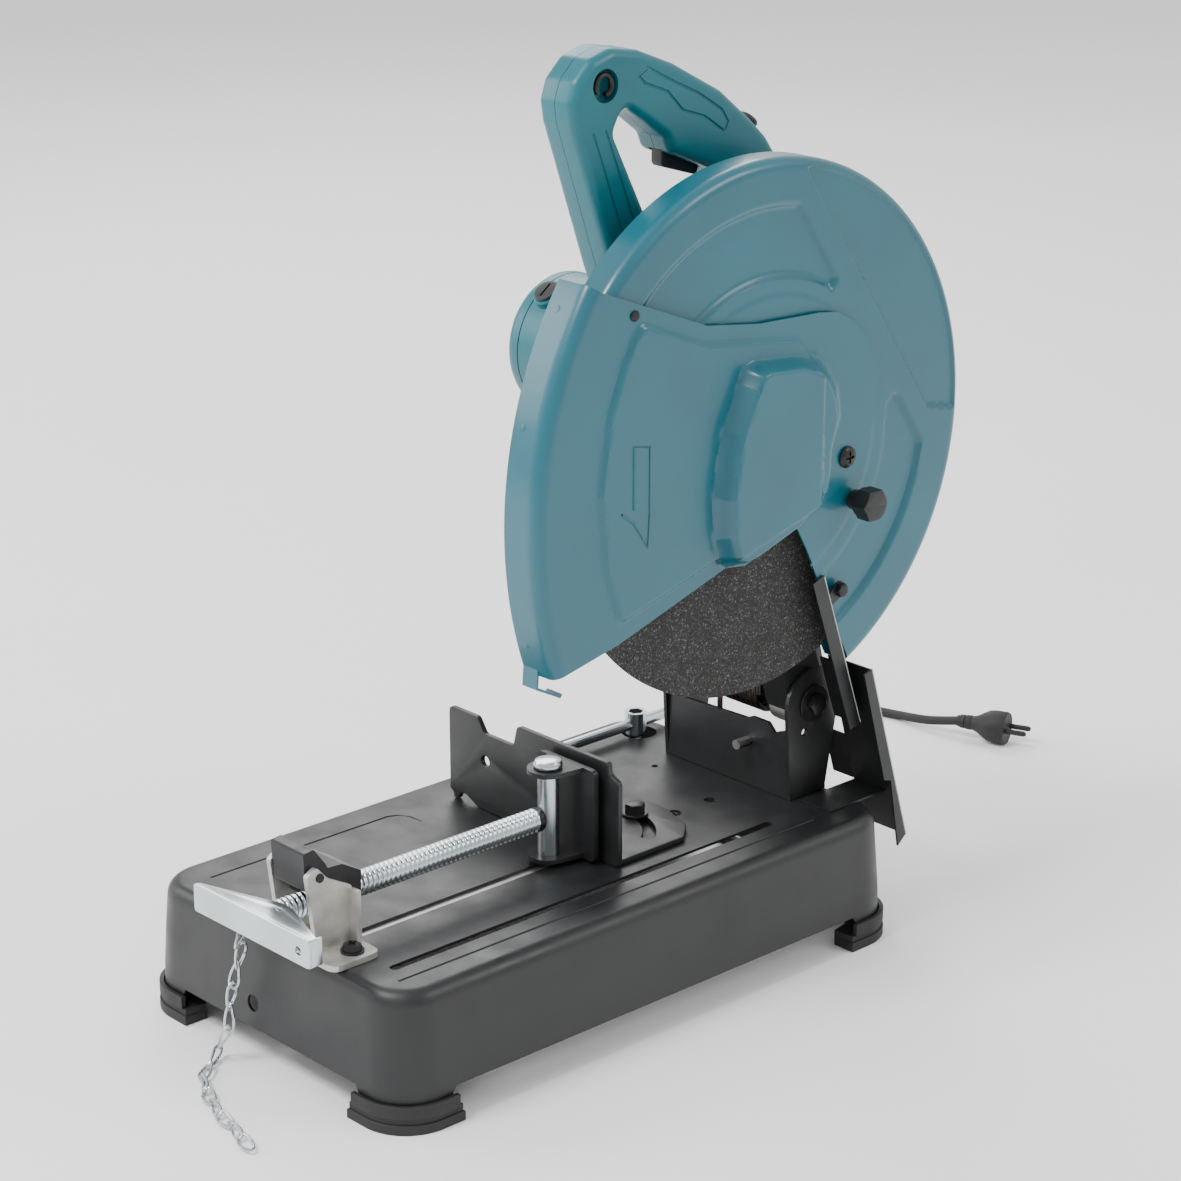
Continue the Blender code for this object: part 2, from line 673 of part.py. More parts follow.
# Head: gear housing with the arm and its sleeve
def gear_housing():
    case_outline = hull((*SPINDLE, 0.0420), (*MOTOR, 0.0530))
    case = flat("gear_housing", case_outline, 0.0400, 0.0813, "YZ")
    arm = flat("arm", hull((*HEAD_PIVOT, 0.0190), (0.1520, 0.3560, 0.0280)), 0.0460, 0.0700, "YZ")
    sleeve = rod("sleeve", 0.0115, -0.0500, 0.0500, "X", HEAD_PIVOT, 24)
    merge(case, arm, sleeve)
    pocket = flat("gear_pocket", hull((*SPINDLE, 0.0330), (*MOTOR, 0.0120)), 0.0390, 0.0560, "YZ", helper=True)
    seat = rod("bearing_seat", 0.0160, 0.0600, 0.0900, "X", SPINDLE, 28, helper=True)
    through = rod("spindle_way", 0.0110, 0.0500, 0.0900, "X", SPINDLE, 24, helper=True)
    nose_way = rod("pinion_nose_way", 0.0042, 0.0500, 0.0620, "X", MOTOR, 20, helper=True)
    pivot_way = rod("pivot_way", 0.0080 + RUNNING, -0.0600, 0.0800, "X", HEAD_PIVOT, 28, helper=True)
    lock_way = rod("lock_way", 0.0050 + RUNNING, 0.0700, 0.1000, "Y", (0.0680, SPINDLE[1]), 20, helper=True)
    cut(case, pocket, seat, through, nose_way, pivot_way, lock_way)
    return finish(case, "cast", (0.0, *HEAD_PIVOT))


def wheel_guard():
    """Dish over the wheel with a rim and a back wall; the lower front is open."""
    radius = GUARD_RADIUS
    thick = 0.0015
    profile = [
        (0, GUARD_FACE), (radius - 0.010, GUARD_FACE), (radius - 0.004, GUARD_FACE - 0.0018),
        (radius, GUARD_FACE - 0.008), (radius, GUARD_BACK), (0.0260, GUARD_BACK), (0.0260, GUARD_BACK + thick),
        (radius - thick, GUARD_BACK + thick), (radius - thick, GUARD_FACE - 0.008),
        (radius - 0.0052, GUARD_FACE - 0.0030), (radius - 0.0104, GUARD_FACE - thick), (0, GUARD_FACE - thick),
    ]
    guard = turned("wheel_guard", profile, "X", SPINDLE, 64)
    opening = [
        (0.155, 0.318), (0.167, 0.301), (0.1775, 0.273), (0.2320, 0.1712), (0.120, 0.080), (-0.140, 0.100),
        (-0.140, 0.3470), (-0.0722, 0.3555), (0.060, 0.352), (0.105, 0.322),
    ]
    mouth = flat("guard_mouth", opening, 0.070, 0.120, "YZ", helper=True)
    knob_way = rod("knob_way", 0.0030 + RUNNING, 0.100, 0.115, "X", KNOB, 20, helper=True)
    screw_way = rod("guard_screw_way", 0.0030, 0.100, 0.115, "X", SAFETY_PIVOT, 16, helper=True)
    spark_way = rod("spark_bolt_way", 0.0025, 0.100, 0.115, "X", (0.194, 0.2626), 12, helper=True)
    return finish(cut(guard, mouth, knob_way, screw_way, spark_way), "teal")


SAFETY_OUTLINE = [
    (0.0591, 0.4748), (0.1075, 0.4678), (0.1650, 0.4655), (0.1830, 0.4630), (0.1980, 0.4545), (0.2110, 0.4420),
    (0.2200, 0.4285), (0.2245, 0.4140), (0.2255, 0.3990), (0.2230, 0.3820), (0.2160, 0.3650), (0.2080, 0.3500),
    (0.1980, 0.3420), (0.1830, 0.3350), (0.1510, 0.3200), (0.0973, 0.3024), (0.0792, 0.3051), (-0.0197, 0.2745),
    (-0.0675, 0.2645),
]
DOME_OUTLINE = [
    (0.0640, 0.345), (0.0700, 0.3120), (0.0973, 0.3060), (0.1510, 0.3240), (0.1740, 0.3330), (0.1755, 0.3500),
    (0.1755, 0.3750), (0.1880, 0.4000), (0.1820, 0.4200), (0.1450, 0.4380), (0.1300, 0.4510), (0.0980, 0.4510),
    (0.0800, 0.4250), (0.0680, 0.3900),
]


def safety_guard():
    """Face plate with a raised centre, a front wall curved about the pivot, a back lip and a hook."""
    outside, inside = 0.1100, 0.1086
    pivot = SAFETY_PIVOT
    front = arc(pivot, SAFETY_RADIUS, 199.5, 146, 16)
    dome_base = inset(DOME_OUTLINE, 0.0008)
    bore = circle(pivot, 0.0045 + RUNNING, 20)
    face = flat("safety_guard", front + SAFETY_OUTLINE, inside, outside, "YZ", holes=[dome_base, bore])
    wall_outer, lip_outer = SAFETY_RADIUS - 0.0005, SAFETY_RADIUS - 0.0012
    wall_outline = arc(pivot, wall_outer, 199.2, 146.3, 16) + arc(pivot, wall_outer - 0.0014, 146.3, 199.2, 16)
    wall = flat("safety_wall", wall_outline, 0.0790, outside - 0.0004, "YZ")
    lip_outline = arc(pivot, lip_outer, 198.7, 146.8, 16) + arc(pivot, lip_outer - 0.0082, 146.8, 198.7, 16)
    lip = flat("safety_lip", lip_outline, 0.0788, 0.0803, "YZ")
    hook = flat(
        "safety_hook",
        [
            (-0.0744, 0.2690), (-0.0757, 0.2529), (-0.0549, 0.2420), (-0.0530, 0.2443), (-0.0541, 0.2453),
            (-0.0553, 0.2440), (-0.0742, 0.2540), (-0.0728, 0.2690),
        ],
        0.0791, 0.0930, "YZ",
    )
    rings = []
    for distance, height in ((0.0, inside + 0.0003), (0.0, 0.1120), (0.0060, 0.1262), (0.0095, 0.1280)):
        rings.append([(height, u, v) for u, v in inset(DOME_OUTLINE, distance)])
    dome = loft("safety_dome", rings)
    rings = []
    for distance, height in ((0.0016, inside - 0.002), (0.0016, 0.1112), (0.0078, 0.1248), (0.0110, 0.1266)):
        rings.append([(height, u, v) for u, v in inset(DOME_OUTLINE, distance)])
    hollow = loft("dome_hollow", rings, helper=True)
    cut(dome, hollow)
    merge(face, wall, lip, hook, dome)
    for modifier in face.modifiers:
        modifier.solver = "MANIFOLD"
    return finish(face, "teal", (0.1093, *pivot))


def guard_pivot_screw():
    """Shouldered screw: thread in the wheel guard, shoulder through the safety guard, wide head."""
    profile = [
        (0, 0.1000), (0.0028, 0.1000), (0.0028, 0.1063), (0.0045, 0.1063), (0.0045, 0.1104),
        (0.0075, 0.1104), (0.0075, 0.1120), (0.0050, 0.1135), (0, 0.1138),
    ]
    return finish(turned("guard_pivot_screw", profile, "X", SAFETY_PIVOT, 20), "black")


def clamp_knob():
    shank = rod("clamp_knob", 0.0030, 0.0965, 0.1150, "X", KNOB, 20)
    collar = rod("knob_collar", 0.0070, 0.1090, 0.1165, "X", KNOB, 24)
    head = flat("knob_head", circle(KNOB, 0.0120, 8), 0.1160, 0.1310, "YZ", bevel=0.001)
    return finish(merge(shank, collar, head), "black", (0.1093, *KNOB))


def upper_spark_guard():
    """Strip down the rear of the wheel opening; its cross plate starts beyond the wheel's edge."""
    top, bottom = (0.1780, 0.2765), (0.2200, 0.1557)
    strip = flat(
        "upper_spark_guard",
        [top, (top[0] - 0.0110, top[1] - 0.004), (bottom[0] - 0.0110, bottom[1] - 0.002), bottom],
        0.1066, 0.1080, "YZ",
    )
    start = (0.2030, 0.2046)
    plate = flat(
        "spark_plate",
        [start, (start[0] - 0.0013, start[1] - 0.0004), (bottom[0] - 0.0013, bottom[1] - 0.0004), bottom],
        0.0835, 0.1075, "YZ",
    )
    tab = flat("spark_tab", hull((0.194, 0.2626, 0.0060), (0.184, 0.2560, 0.004)), 0.1066, 0.1080, "YZ")
    merge(strip, plate, tab)
    drill = rod("spark_tab_hole", 0.0025, 0.100, 0.115, "X", (0.194, 0.2626), 12, helper=True)
    return finish(cut(strip, drill), "black")


def spark_guard_bolt():
    centre = (0.194, 0.2626)
    shank = rod("spark_guard_bolt", 0.0022, 0.1030, 0.1090, "X", centre, 12)
    head = flat("spark_bolt_head", circle(centre, 0.0050, 6), 0.1083, 0.1120, "YZ")
    return finish(merge(shank, head), "black")


# Spindle group
def gear_outline(centre, teeth, root, tip, phase, widths):
    """Straight-sided teeth; widths are the half tooth angles at root and tip as parts of a pitch."""
    pitch = 2 * math.pi / teeth
    outline = []
    for index in range(teeth):
        middle = phase + index * pitch
        for part, radius in ((-widths[0], root), (-widths[1], tip), (widths[1], tip), (widths[0], root)):
            angle = middle + part * pitch
            outline.append((centre[0] + radius * math.cos(angle), centre[1] + radius * math.sin(angle)))
    return outline


def spindle():
    profile = [(0, 0.0430), (0.0080, 0.0430), (0.0080, 0.0900), (0, 0.0900)]
    obj = turned("spindle", profile, "X", SPINDLE, 28)
    bore = rod("spindle_bore", 0.0053, 0.0660, 0.1000, "X", SPINDLE, 20, helper=True)
    return finish(cut(obj, bore), "steel", (0.0, *SPINDLE))


def inner_flange():
    profile = [
        (0.0083, 0.0770), (0.0105, 0.0770), (0.0105, 0.0838), (0.0380, 0.0838), (0.0380, 0.0887),
        (0.0124, 0.0887), (0.0124, 0.0912), (0.0083, 0.0912),
    ]
    return finish(turned("inner_flange", profile, "X", SPINDLE, 36), "steel", (0.0, *SPINDLE))


def abrasive_wheel():
    obj = ring("abrasive_wheel", 0.0127, WHEEL_RADIUS, WHEEL_X - 0.0015, WHEEL_X + 0.0015, "X", SPINDLE, 72)
    return finish(obj, "grit", (0.0, *SPINDLE))


def outer_flange():
    obj = ring("outer_flange", 0.0055, 0.0380, 0.0923, 0.0972, "X", SPINDLE, 36)
    return finish(obj, "steel", (0.0, *SPINDLE))


def wheel_bolt():
    shank = rod("wheel_bolt", 0.0050, 0.0690, 0.0985, "X", SPINDLE, 20)
    head = flat("wheel_bolt_head", circle(SPINDLE, 0.0095, 6), 0.0975, 0.1028, "YZ")
    return finish(merge(shank, head), "steel", (0.0, *SPINDLE))


def drive_gear():
    outline = gear_outline(SPINDLE, 60, 0.0289, 0.03075, math.pi / 2, (0.30, 0.12))
    obj = flat("drive_gear", outline, 0.0445, 0.0535, "YZ", holes=[circle(SPINDLE, 0.0083, 24)])
    return finish(obj, "steel", (0.0, *SPINDLE))


def spindle_bearing():
    return finish(ring("spindle_bearing", 0.0080 + RUNNING, 0.0157, 0.0605, 0.0735, "X", SPINDLE, 32), "steel")


# Motor
def motor_housing():
    shell = ring("motor_housing", 0.0465, 0.0500, -0.0900, 0.0397, "X", MOTOR, 48)
    bosses = []
    for index, sign in enumerate((1, -1)):
        place = brush_place(sign)
        boss = turned(f"brush_boss_{index}", [(0, 0.0470), (0.0105, 0.0470), (0.0105, 0.0545), (0, 0.0545)], steps=20, place=place)
        bosses.append(boss)
    merge(shell, *bosses)
    ways = [
        turned(f"brush_way_{index}", [(0, 0.0400), (0.0080, 0.0400), (0.0080, 0.0600), (0, 0.0600)], steps=20, place=brush_place(sign), helper=True)
        for index, sign in enumerate((1, -1))
    ]
    return finish(cut(shell, *ways), "teal")


def brush_place(sign):
    """Turns +Z to a brush's direction, from the motor axis at the commutator."""
    direction = Vector((0, -0.598 * sign, 0.801 * sign))
    turn = direction.to_track_quat("Z", "X").to_matrix().to_4x4()
    return Matrix.Translation((-0.0780, *MOTOR)) @ turn


def brush_cap(name, sign):
    profile = [(0, 0.0330), (0.0077, 0.0330), (0.0077, 0.0548), (0.0090, 0.0549), (0.0085, 0.0570), (0, 0.0572)]
    return finish(turned(name, profile, steps=20, place=brush_place(sign)), "black")


def carbon_brush(name, sign):
    obj = block(name, (-0.0040, -0.0030, 0.0140), (0.0040, 0.0030, 0.0326))
    obj.data.transform(brush_place(sign))
    return finish(obj, "rubber")


def motor_end_cover():
    profile = [(0, -0.1040), (0.0440, -0.1040), (0.0500, -0.0985), (0.0500, -0.0903), (0.0465, -0.0903), (0.0465, -0.0960), (0, -0.0960)]
    obj = turned("motor_end_cover", profile, "X", MOTOR, 40)
    slots = []
    for index in range(5):
        y = MOTOR[0] - 0.024 + index * 0.012
        slots.append(block(f"vent_{index}", (-0.110, y - 0.002, MOTOR[1] + 0.010), (-0.090, y + 0.002, MOTOR[1] + 0.030), helper=True))
    bearing = rod("rear_bearing_way", 0.0040 + RUNNING, -0.1020, -0.0900, "X", MOTOR, 20, helper=True)
    return finish(cut(obj, bearing, *slots), "teal")


def stator():
    return finish(ring("stator", 0.0310, 0.0461, -0.0500, 0.0080, "X", MOTOR, 40), "steel")


def armature():
    """Shaft, laminated core, commutator and the pinion cut on the shaft's end."""
    profile = [
        (0, -0.1010), (0.0040, -0.1010), (0.0040, -0.0880), (0.0136, -0.0880), (0.0136, -0.0690), (0.0060, -0.0690),
        (0.0060, -0.0480), (0.0300, -0.0480), (0.0300, 0.0060), (0.0060, 0.0060), (0.0060, 0.0350),
        (0.0042, 0.0350), (0.0042, 0.0540), (0.0038, 0.0540), (0.0038, 0.0610), (0, 0.0610),
    ]
    shaft = turned("armature", profile, "X", MOTOR, 28)
    phase = -math.pi / 2 + math.pi / 11
    outline = gear_outline(MOTOR, 11, 0.0044, 0.00625, phase, (0.28, 0.10))
    pinion = flat("pinion", outline, 0.0430, 0.0545, "YZ")
    return finish(merge(shaft, pinion), "copper", (0.0, *MOTOR))


def cooling_fan():
    hub = ring("cooling_fan", 0.0063, 0.0140, 0.0130, 0.0300, "X", MOTOR, 24)
    disc = ring("fan_disc", 0.0120, 0.0440, 0.0270, 0.0290, "X", MOTOR, 36)
    blades = []
    for index in range(10):
        angle = 2 * math.pi * index / 10
        blade = block(f"blade_{index}", (0.0140, 0.0120, -0.0008), (0.0275, 0.0430, 0.0008))
        turn = Matrix.Translation((0, *MOTOR)) @ Matrix.Rotation(angle, 4, "X")
        blade.data.transform(turn)
        blades.append(blade)
    return finish(merge(hub, disc, *blades), "black", (0.0, *MOTOR))


# Handle in two halves, with the switch parts between them
HANDLE_OUTLINE = [
    (0.075, 0.430), (0.165, 0.430), (0.178, 0.470), (0.190, 0.520), (0.1885, 0.545), (0.184, 0.560), (0.173, 0.575),
    (0.159, 0.588), (0.130, 0.611), (0.086, 0.634), (0.055, 0.646), (0.030, 0.650), (0.012, 0.6445), (-0.001, 0.632),
    (-0.006, 0.618), (-0.004, 0.604), (0.031, 0.504), (0.053, 0.450),
]
HANDLE_OPENING = [
    (0.065, 0.531), (0.032, 0.595), (0.041, 0.612), (0.060, 0.600), (0.0785, 0.586), (0.083, 0.5755), (0.120, 0.560),
    (0.140, 0.545), (0.150, 0.520), (0.140, 0.492), (0.115, 0.482), (0.090, 0.488), (0.075, 0.505),
]


def handle_half(name, low, high, side):
    body = flat(name, HANDLE_OUTLINE, SEAM - 0.0170, SEAM + 0.0170, "YZ", holes=[HANDLE_OPENING], bevel=0.004)
    cutters = [
        block(name + "_other_side", (low, -0.05, 0.40), (high, 0.25, 0.70), helper=True),
        rod(name + "_motor_seat", 0.0503, -0.02, 0.0400, "X", MOTOR, 48, helper=True),
        flat(name + "_case_seat", hull((*SPINDLE, 0.0423), (*MOTOR, 0.0533)), 0.0395, 0.070, "YZ", helper=True),
        flat(
            name + "_pocket",
            [(0.080, 0.602), (0.092, 0.622), (0.135, 0.600), (0.164, 0.577), (0.157, 0.560), (0.122, 0.572)],
            SEAM - 0.0100, SEAM + 0.0100, "YZ", helper=True,
        ),
        flat(
            name + "_trigger_slot",
            [(0.0828, 0.550), (0.1205, 0.545), (0.1205, 0.590), (0.100, 0.602), (0.0828, 0.598)],
            SEAM - 0.0062, SEAM + 0.0062, "YZ", helper=True,
        ),
        turned(
            name + "_button_way", [(0, -0.010), (0.0056, -0.010), (0.0056, 0.020), (0, 0.020)],
            steps=20, place=button_place(), helper=True,
        ),
    ]
    if side > 0:
        cutters.append(rod("hook_recess", 0.0110, SEAM + 0.0100, 0.060, "X", (0.0230, 0.6270), 24, helper=True))
    return finish(cut(body, *cutters), "teal")


def button_place():
    direction = Vector((0, 0.68, 0.73))
    turn = direction.to_track_quat("Z", "X").to_matrix().to_4x4()
    return Matrix.Translation((SEAM, 0.1595, 0.5745)) @ turn


def lock_off_button():
    profile = [(0, -0.0030), (0.0055, -0.0030), (0.0055, 0.0120), (0.0075, 0.0122), (0.0075, 0.0150), (0.0060, 0.0162), (0, 0.0162)]
    return finish(turned("lock_off_button", profile, steps=20, place=button_place()), "black", (SEAM, 0.1595, 0.5745))


TRIGGER_PIVOT = (0.1165, 0.5830)


def trigger():
    outline = [(0.0845, 0.5650), (0.1165, 0.5550), (0.1190, 0.5620), (0.1190, 0.5855), (0.1000, 0.5930), (0.0880, 0.5900), (0.0845, 0.5760)]
    obj = flat("trigger", rounded(outline, 0.002, 2), SEAM - 0.0055, SEAM + 0.0055, "YZ")
    return finish(obj, "black", (SEAM, *TRIGGER_PIVOT))


def switch_body():
    outline = [(0.1235, 0.5785), (0.1480, 0.5680), (0.1530, 0.5790), (0.1290, 0.5960)]
    return finish(flat("switch_body", outline, SEAM - 0.0090, SEAM + 0.0090, "YZ"), "black")


def chain_hook():
    """Open ring standing in the round recess of the handle's side."""
    points = []
    for step in range(15):
        angle = math.radians(-60 + 20 * step)
        points.append((0.0500, 0.0230 + 0.0068 * math.cos(angle), 0.6270 + 0.0068 * math.sin(angle)))
    points.insert(0, (0.0475, 0.0230 + 0.0068 * math.cos(math.radians(-60)), 0.6270 + 0.0068 * math.sin(math.radians(-60))))
    return finish(tube("chain_hook", points, 0.0018, 1), "zinc")


def shaft_lock_button():
    profile = [(0, 0.0635), (0.0070, 0.0635), (0.0075, 0.0650), (0.0075, 0.0705), (0.0050, 0.0705), (0.0050, 0.0930), (0, 0.0930)]
    obj = turned("shaft_lock_button", profile, "Y", (0.0680, SPINDLE[1]), 20)
    return finish(obj, "black", (0.0680, 0.0705, SPINDLE[1]))


# Cord
CORD_EXIT = (0.0100, 0.1683, 0.3950)
CORD_STRAIGHT = (0.0060, 0.0140, 0.0220, 0.0300, 0.0380, 0.0480)
CORD_SPLIT = 2
CORD_SPACING = 0.014
CORD_RADIUS = 0.00375
COIL = (-0.1080, 0.3020)
COIL_INNER = 0.0370
COIL_OUTER = 0.0530
COIL_TOP = 0.0240
TURN_RADIUS = 0.0488
CORD_REST = CORD_RADIUS + 0.0001
CORD_DROP = [
    (0.010, 0.238, 0.355), (0.008, 0.262, 0.270), (0.010, 0.272, 0.170), (0.012, 0.274, 0.090),
    (0.008, 0.268, 0.038), (-0.014, 0.2580, 0.0080), (-0.040, 0.2535, CORD_REST),
]
CORD_TAIL = [
    (-0.1580, 0.370), (-0.1700, 0.420), (-0.1920, 0.470), (-0.2000, 0.510),
    (-0.1785, 0.5400), (-0.1380, 0.5480), (-0.1070, 0.5445), (-0.0850, 0.5530),
]


def exit_frame():
    """The cord guard's place: its local +Z is the way that the cord leaves the motor."""
    x, y, z = CORD_EXIT
    return Matrix.Translation((x, y, z)) @ Matrix.Rotation(math.radians(-98), 4, "X")


def resting(points):
    """The points, none of them lower than a cord that lies on the floor."""
    return [Vector((x, y, max(z, CORD_REST))) for x, y, z in smooth_path(points, CORD_SPACING)]


def cord_guard():
    """Ribbed rubber sleeve where the cord leaves the motor housing."""
    profile = [(0.0041, 0.0045), (0.0075, 0.0045), (0.0070, 0.0200), (0.0055, 0.0330), (0.0041, 0.0330)]
    return finish(turned("cord_guard", profile, steps=20, place=exit_frame()), "rubber")


def power_cord():
    """The stretch that moves with the head: straight out of the guard and down behind the motor."""
    straight = [exit_frame() @ Vector((0, 0, distance)) for distance in CORD_STRAIGHT]
    path = [*straight, *CORD_DROP[:CORD_SPLIT], (0.0098, 0.2705, 0.2000 + GAP)]
    return finish(tube("power_cord", resting(path), CORD_RADIUS, 2), "rubber")


def cord_coil():
    """The stretch that stays: down to the floor and into the coil, whose turns fill one ring."""
    profile = [
        (COIL_INNER, 0.003), (COIL_INNER + 0.003, 0.0001), (COIL_OUTER - 0.003, 0.0001), (COIL_OUTER, 0.003),
        (COIL_OUTER, COIL_TOP - 0.003), (COIL_OUTER - 0.003, COIL_TOP), (COIL_INNER + 0.003, COIL_TOP),
        (COIL_INNER, COIL_TOP - 0.003),
    ]
    coil = turned("cord_coil", profile, "Z", COIL, 40)
    path = [
        (0.0100, 0.2710, 0.1990), *CORD_DROP[CORD_SPLIT:], (COIL[0] + 0.0290, COIL[1] - TURN_RADIUS, CORD_REST),
        (COIL[0] + 0.0040, COIL[1] - TURN_RADIUS, CORD_REST + 0.0002),
    ]
    return finish(merge(coil, tube("cord_lead", resting(path), CORD_RADIUS, 2)), "rubber")


def cord_tail():
    path = [(COIL[0] - TURN_RADIUS, COIL[1] + 0.0290, CORD_REST), *[(x, y, CORD_REST) for x, y in CORD_TAIL]]
    return finish(tube("cord_tail", resting(path), CORD_RADIUS, 2), "rubber")


def plug():
    place = Matrix.Translation((-0.0848, 0.5531, 0.0140)) @ Matrix.Rotation(math.radians(-68), 4, "Z") @ Matrix.Rotation(math.radians(90), 4, "X").inverted()
    body = turned(
        "plug",
        [(0, 0.0005), (0.0050, 0.0005), (0.0062, 0.0180), (0.0120, 0.0250), (0.0138, 0.0320), (0.0138, 0.0440), (0, 0.0440)],
        steps=20, place=place,
    )
    pins = [
        turned(f"plug_pin_{i}", [(0, 0.0430), (0.0022, 0.0430), (0.0022, 0.0620), (0, 0.0620)], steps=12, place=place @ Matrix.Translation((x, 0, 0)))
        for i, x in enumerate((-0.0065, 0.0065))
    ]
    return finish(merge(body, *pins), "rubber")


base_tray()
foot("foot_front_right", 1, -1)
foot("foot_front_left", -1, -1)
foot("foot_rear_right", 1, 1)
foot("foot_rear_left", -1, 1)
guide_rail()
vise_bracket()
bracket_screw("vise_bracket_screw_right", 0.0615)
bracket_screw("vise_bracket_screw_left", -0.0085)
vise_screw()
crank_handle()
trunnion_pin()
vise_jaw()
half_nut()
guide_plate()
hex_bolt("guide_pivot_bolt", FENCE_PIVOT, 0.0040, 0.0068, 0.0850, 0.0996, 0.1060, "black")
hex_bolt("guide_clamp_bolt", FENCE_CLAMP, 0.0038, 0.0072, 0.0850, 0.0996, 0.1080, "steel", washer=0.0095)
pivot_bracket()
pivot_shaft()
pivot_bolt()
stop_pin()
torsion_spring()
lower_spark_guard()
wrench()
carry_chain()
gear_housing()
wheel_guard()
safety_guard()
guard_pivot_screw()
clamp_knob()
upper_spark_guard()
spark_guard_bolt()
spindle()
inner_flange()
abrasive_wheel()
outer_flange()
wheel_bolt()
drive_gear()
spindle_bearing()
motor_housing()
brush_cap("brush_cap_front", 1)
brush_cap("brush_cap_rear", -1)
carbon_brush("carbon_brush_front", 1)
carbon_brush("carbon_brush_rear", -1)
motor_end_cover()
stator()
armature()
cooling_fan()
handle_half("handle_left", SEAM - 0.00015, 0.10, -1)
handle_half("handle_right", 0.0, SEAM + 0.00015, 1)
trigger()
lock_off_button()
switch_body()
chain_hook()
shaft_lock_button()
cord_guard()
power_cord()
cord_coil()
cord_tail()
plug()
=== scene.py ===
"""Looks of the abrasive chop saw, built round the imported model. Metres, +Z up, the wheel cover faces +X."""

import json
import math

import bmesh
import bpy
import numpy as np
from mathutils import Matrix, Vector


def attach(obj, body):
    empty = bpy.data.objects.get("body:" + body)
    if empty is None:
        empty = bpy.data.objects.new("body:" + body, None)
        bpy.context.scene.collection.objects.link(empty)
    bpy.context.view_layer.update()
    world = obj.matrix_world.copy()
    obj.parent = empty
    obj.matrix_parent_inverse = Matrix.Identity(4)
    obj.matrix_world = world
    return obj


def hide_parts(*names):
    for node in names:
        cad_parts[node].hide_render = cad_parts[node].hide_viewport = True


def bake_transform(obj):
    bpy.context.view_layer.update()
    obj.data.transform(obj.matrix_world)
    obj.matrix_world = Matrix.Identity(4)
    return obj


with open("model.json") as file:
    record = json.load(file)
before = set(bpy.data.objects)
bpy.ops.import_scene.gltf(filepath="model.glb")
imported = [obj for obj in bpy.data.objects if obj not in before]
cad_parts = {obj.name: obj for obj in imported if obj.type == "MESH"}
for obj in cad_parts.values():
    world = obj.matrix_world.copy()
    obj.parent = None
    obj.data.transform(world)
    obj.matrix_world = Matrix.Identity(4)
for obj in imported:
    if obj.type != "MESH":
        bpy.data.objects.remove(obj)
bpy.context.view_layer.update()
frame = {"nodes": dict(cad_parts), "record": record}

# Driving sizes, the same as the CAD model's
TRAY_TOP = 0.095
TRAY_EDGE = 0.0247
LEG_BOTTOM = 0.012
HALF_X = 0.1374
HALF_Y = 0.2314
CORNER = 0.032
WHEEL_X = 0.0905
WHEEL_RADIUS = 0.1775
SPINDLE = (0.1213, 0.3793)
MOTOR = (0.1213, 0.4148)
HEAD_PIVOT = (0.207, 0.165)
SAFETY_PIVOT = (0.195, 0.359)
SAFETY_RADIUS = 0.285
SAFETY_FACE = 0.11
GUARD_RADIUS = 0.195
GUARD_FACE = 0.106
GUARD_BACK = 0.0816
SHEET = 0.0014
SCREW_AXIS = (0.0315, 0.1275)
TRUNNION = (0.034, -0.013)
KNOB = (0.204, 0.3265)
SEAM = 0.035

PLANES = {
    "XY": Matrix.Identity(4),
    "YZ": Matrix(((0, 0, 1, 0), (1, 0, 0, 0), (0, 1, 0, 0), (0, 0, 0, 1))),
    "XZ": Matrix(((1, 0, 0, 0), (0, 0, -1, 0), (0, 1, 0, 0), (0, 0, 0, 1))),
}
AXES = {
    "X": PLANES["YZ"],
    "Y": Matrix(((0, 1, 0, 0), (0, 0, 1, 0), (1, 0, 0, 0), (0, 0, 0, 1))),
    "Z": Matrix.Identity(4),
}
BODY_OF = {node: body for body, nodes in frame["record"]["behaviour"]["bodies"].items() for node in nodes}


# Outlines: lists of (u, v) points
def circle(centre, radius, steps=48, turn=0.0):
    angles = [turn + 2 * math.pi * i / steps for i in range(steps)]
    return [(centre[0] + radius * math.cos(a), centre[1] + radius * math.sin(a)) for a in angles]


def arc(centre, radius, start_deg, end_deg, steps=24):
    angles = [math.radians(start_deg + (end_deg - start_deg) * i / steps) for i in range(steps + 1)]
    return [(centre[0] + radius * math.cos(a), centre[1] + radius * math.sin(a)) for a in angles]


def box_outline(low, high):
    return [(low[0], low[1]), (high[0], low[1]), (high[0], high[1]), (low[0], high[1])]


def hull(*circles, steps=64):
    """Outline of the smallest convex shape round circles given as (u, v, radius)."""
    points = sorted(p for u, v, radius in circles for p in circle((u, v), radius, steps))

    def half(ordered):
        chain = []
        for p in ordered:
            while len(chain) > 1:
                ax, ay = chain[-1][0] - chain[-2][0], chain[-1][1] - chain[-2][1]
                bx, by = p[0] - chain[-2][0], p[1] - chain[-2][1]
                if ax * by - ay * bx > 1e-12:
                    break
                chain.pop()
            chain.append(p)
        return chain[:-1]

    return half(points) + half(points[::-1])


def rounded(outline, radius, steps=6):
    """The outline with each corner replaced by a curve, smaller where the sides are short."""
    result = []
    count = len(outline)
    for i, corner in enumerate(outline):
        here = Vector(corner)
        before = Vector(outline[i - 1]) - here
        after = Vector(outline[(i + 1) % count]) - here
        angle = before.angle(after)
        if angle > math.radians(172):
            result.append(corner)
            continue
        reach = min(radius / math.tan(angle / 2), 0.45 * before.length, 0.45 * after.length)
        first = here + before.normalized() * reach
        last = here + after.normalized() * reach
        for step in range(steps + 1):
            t = step / steps
            point = first * (1 - t) ** 2 + here * 2 * t * (1 - t) + last * t**2
            result.append((point.x, point.y))
    return result


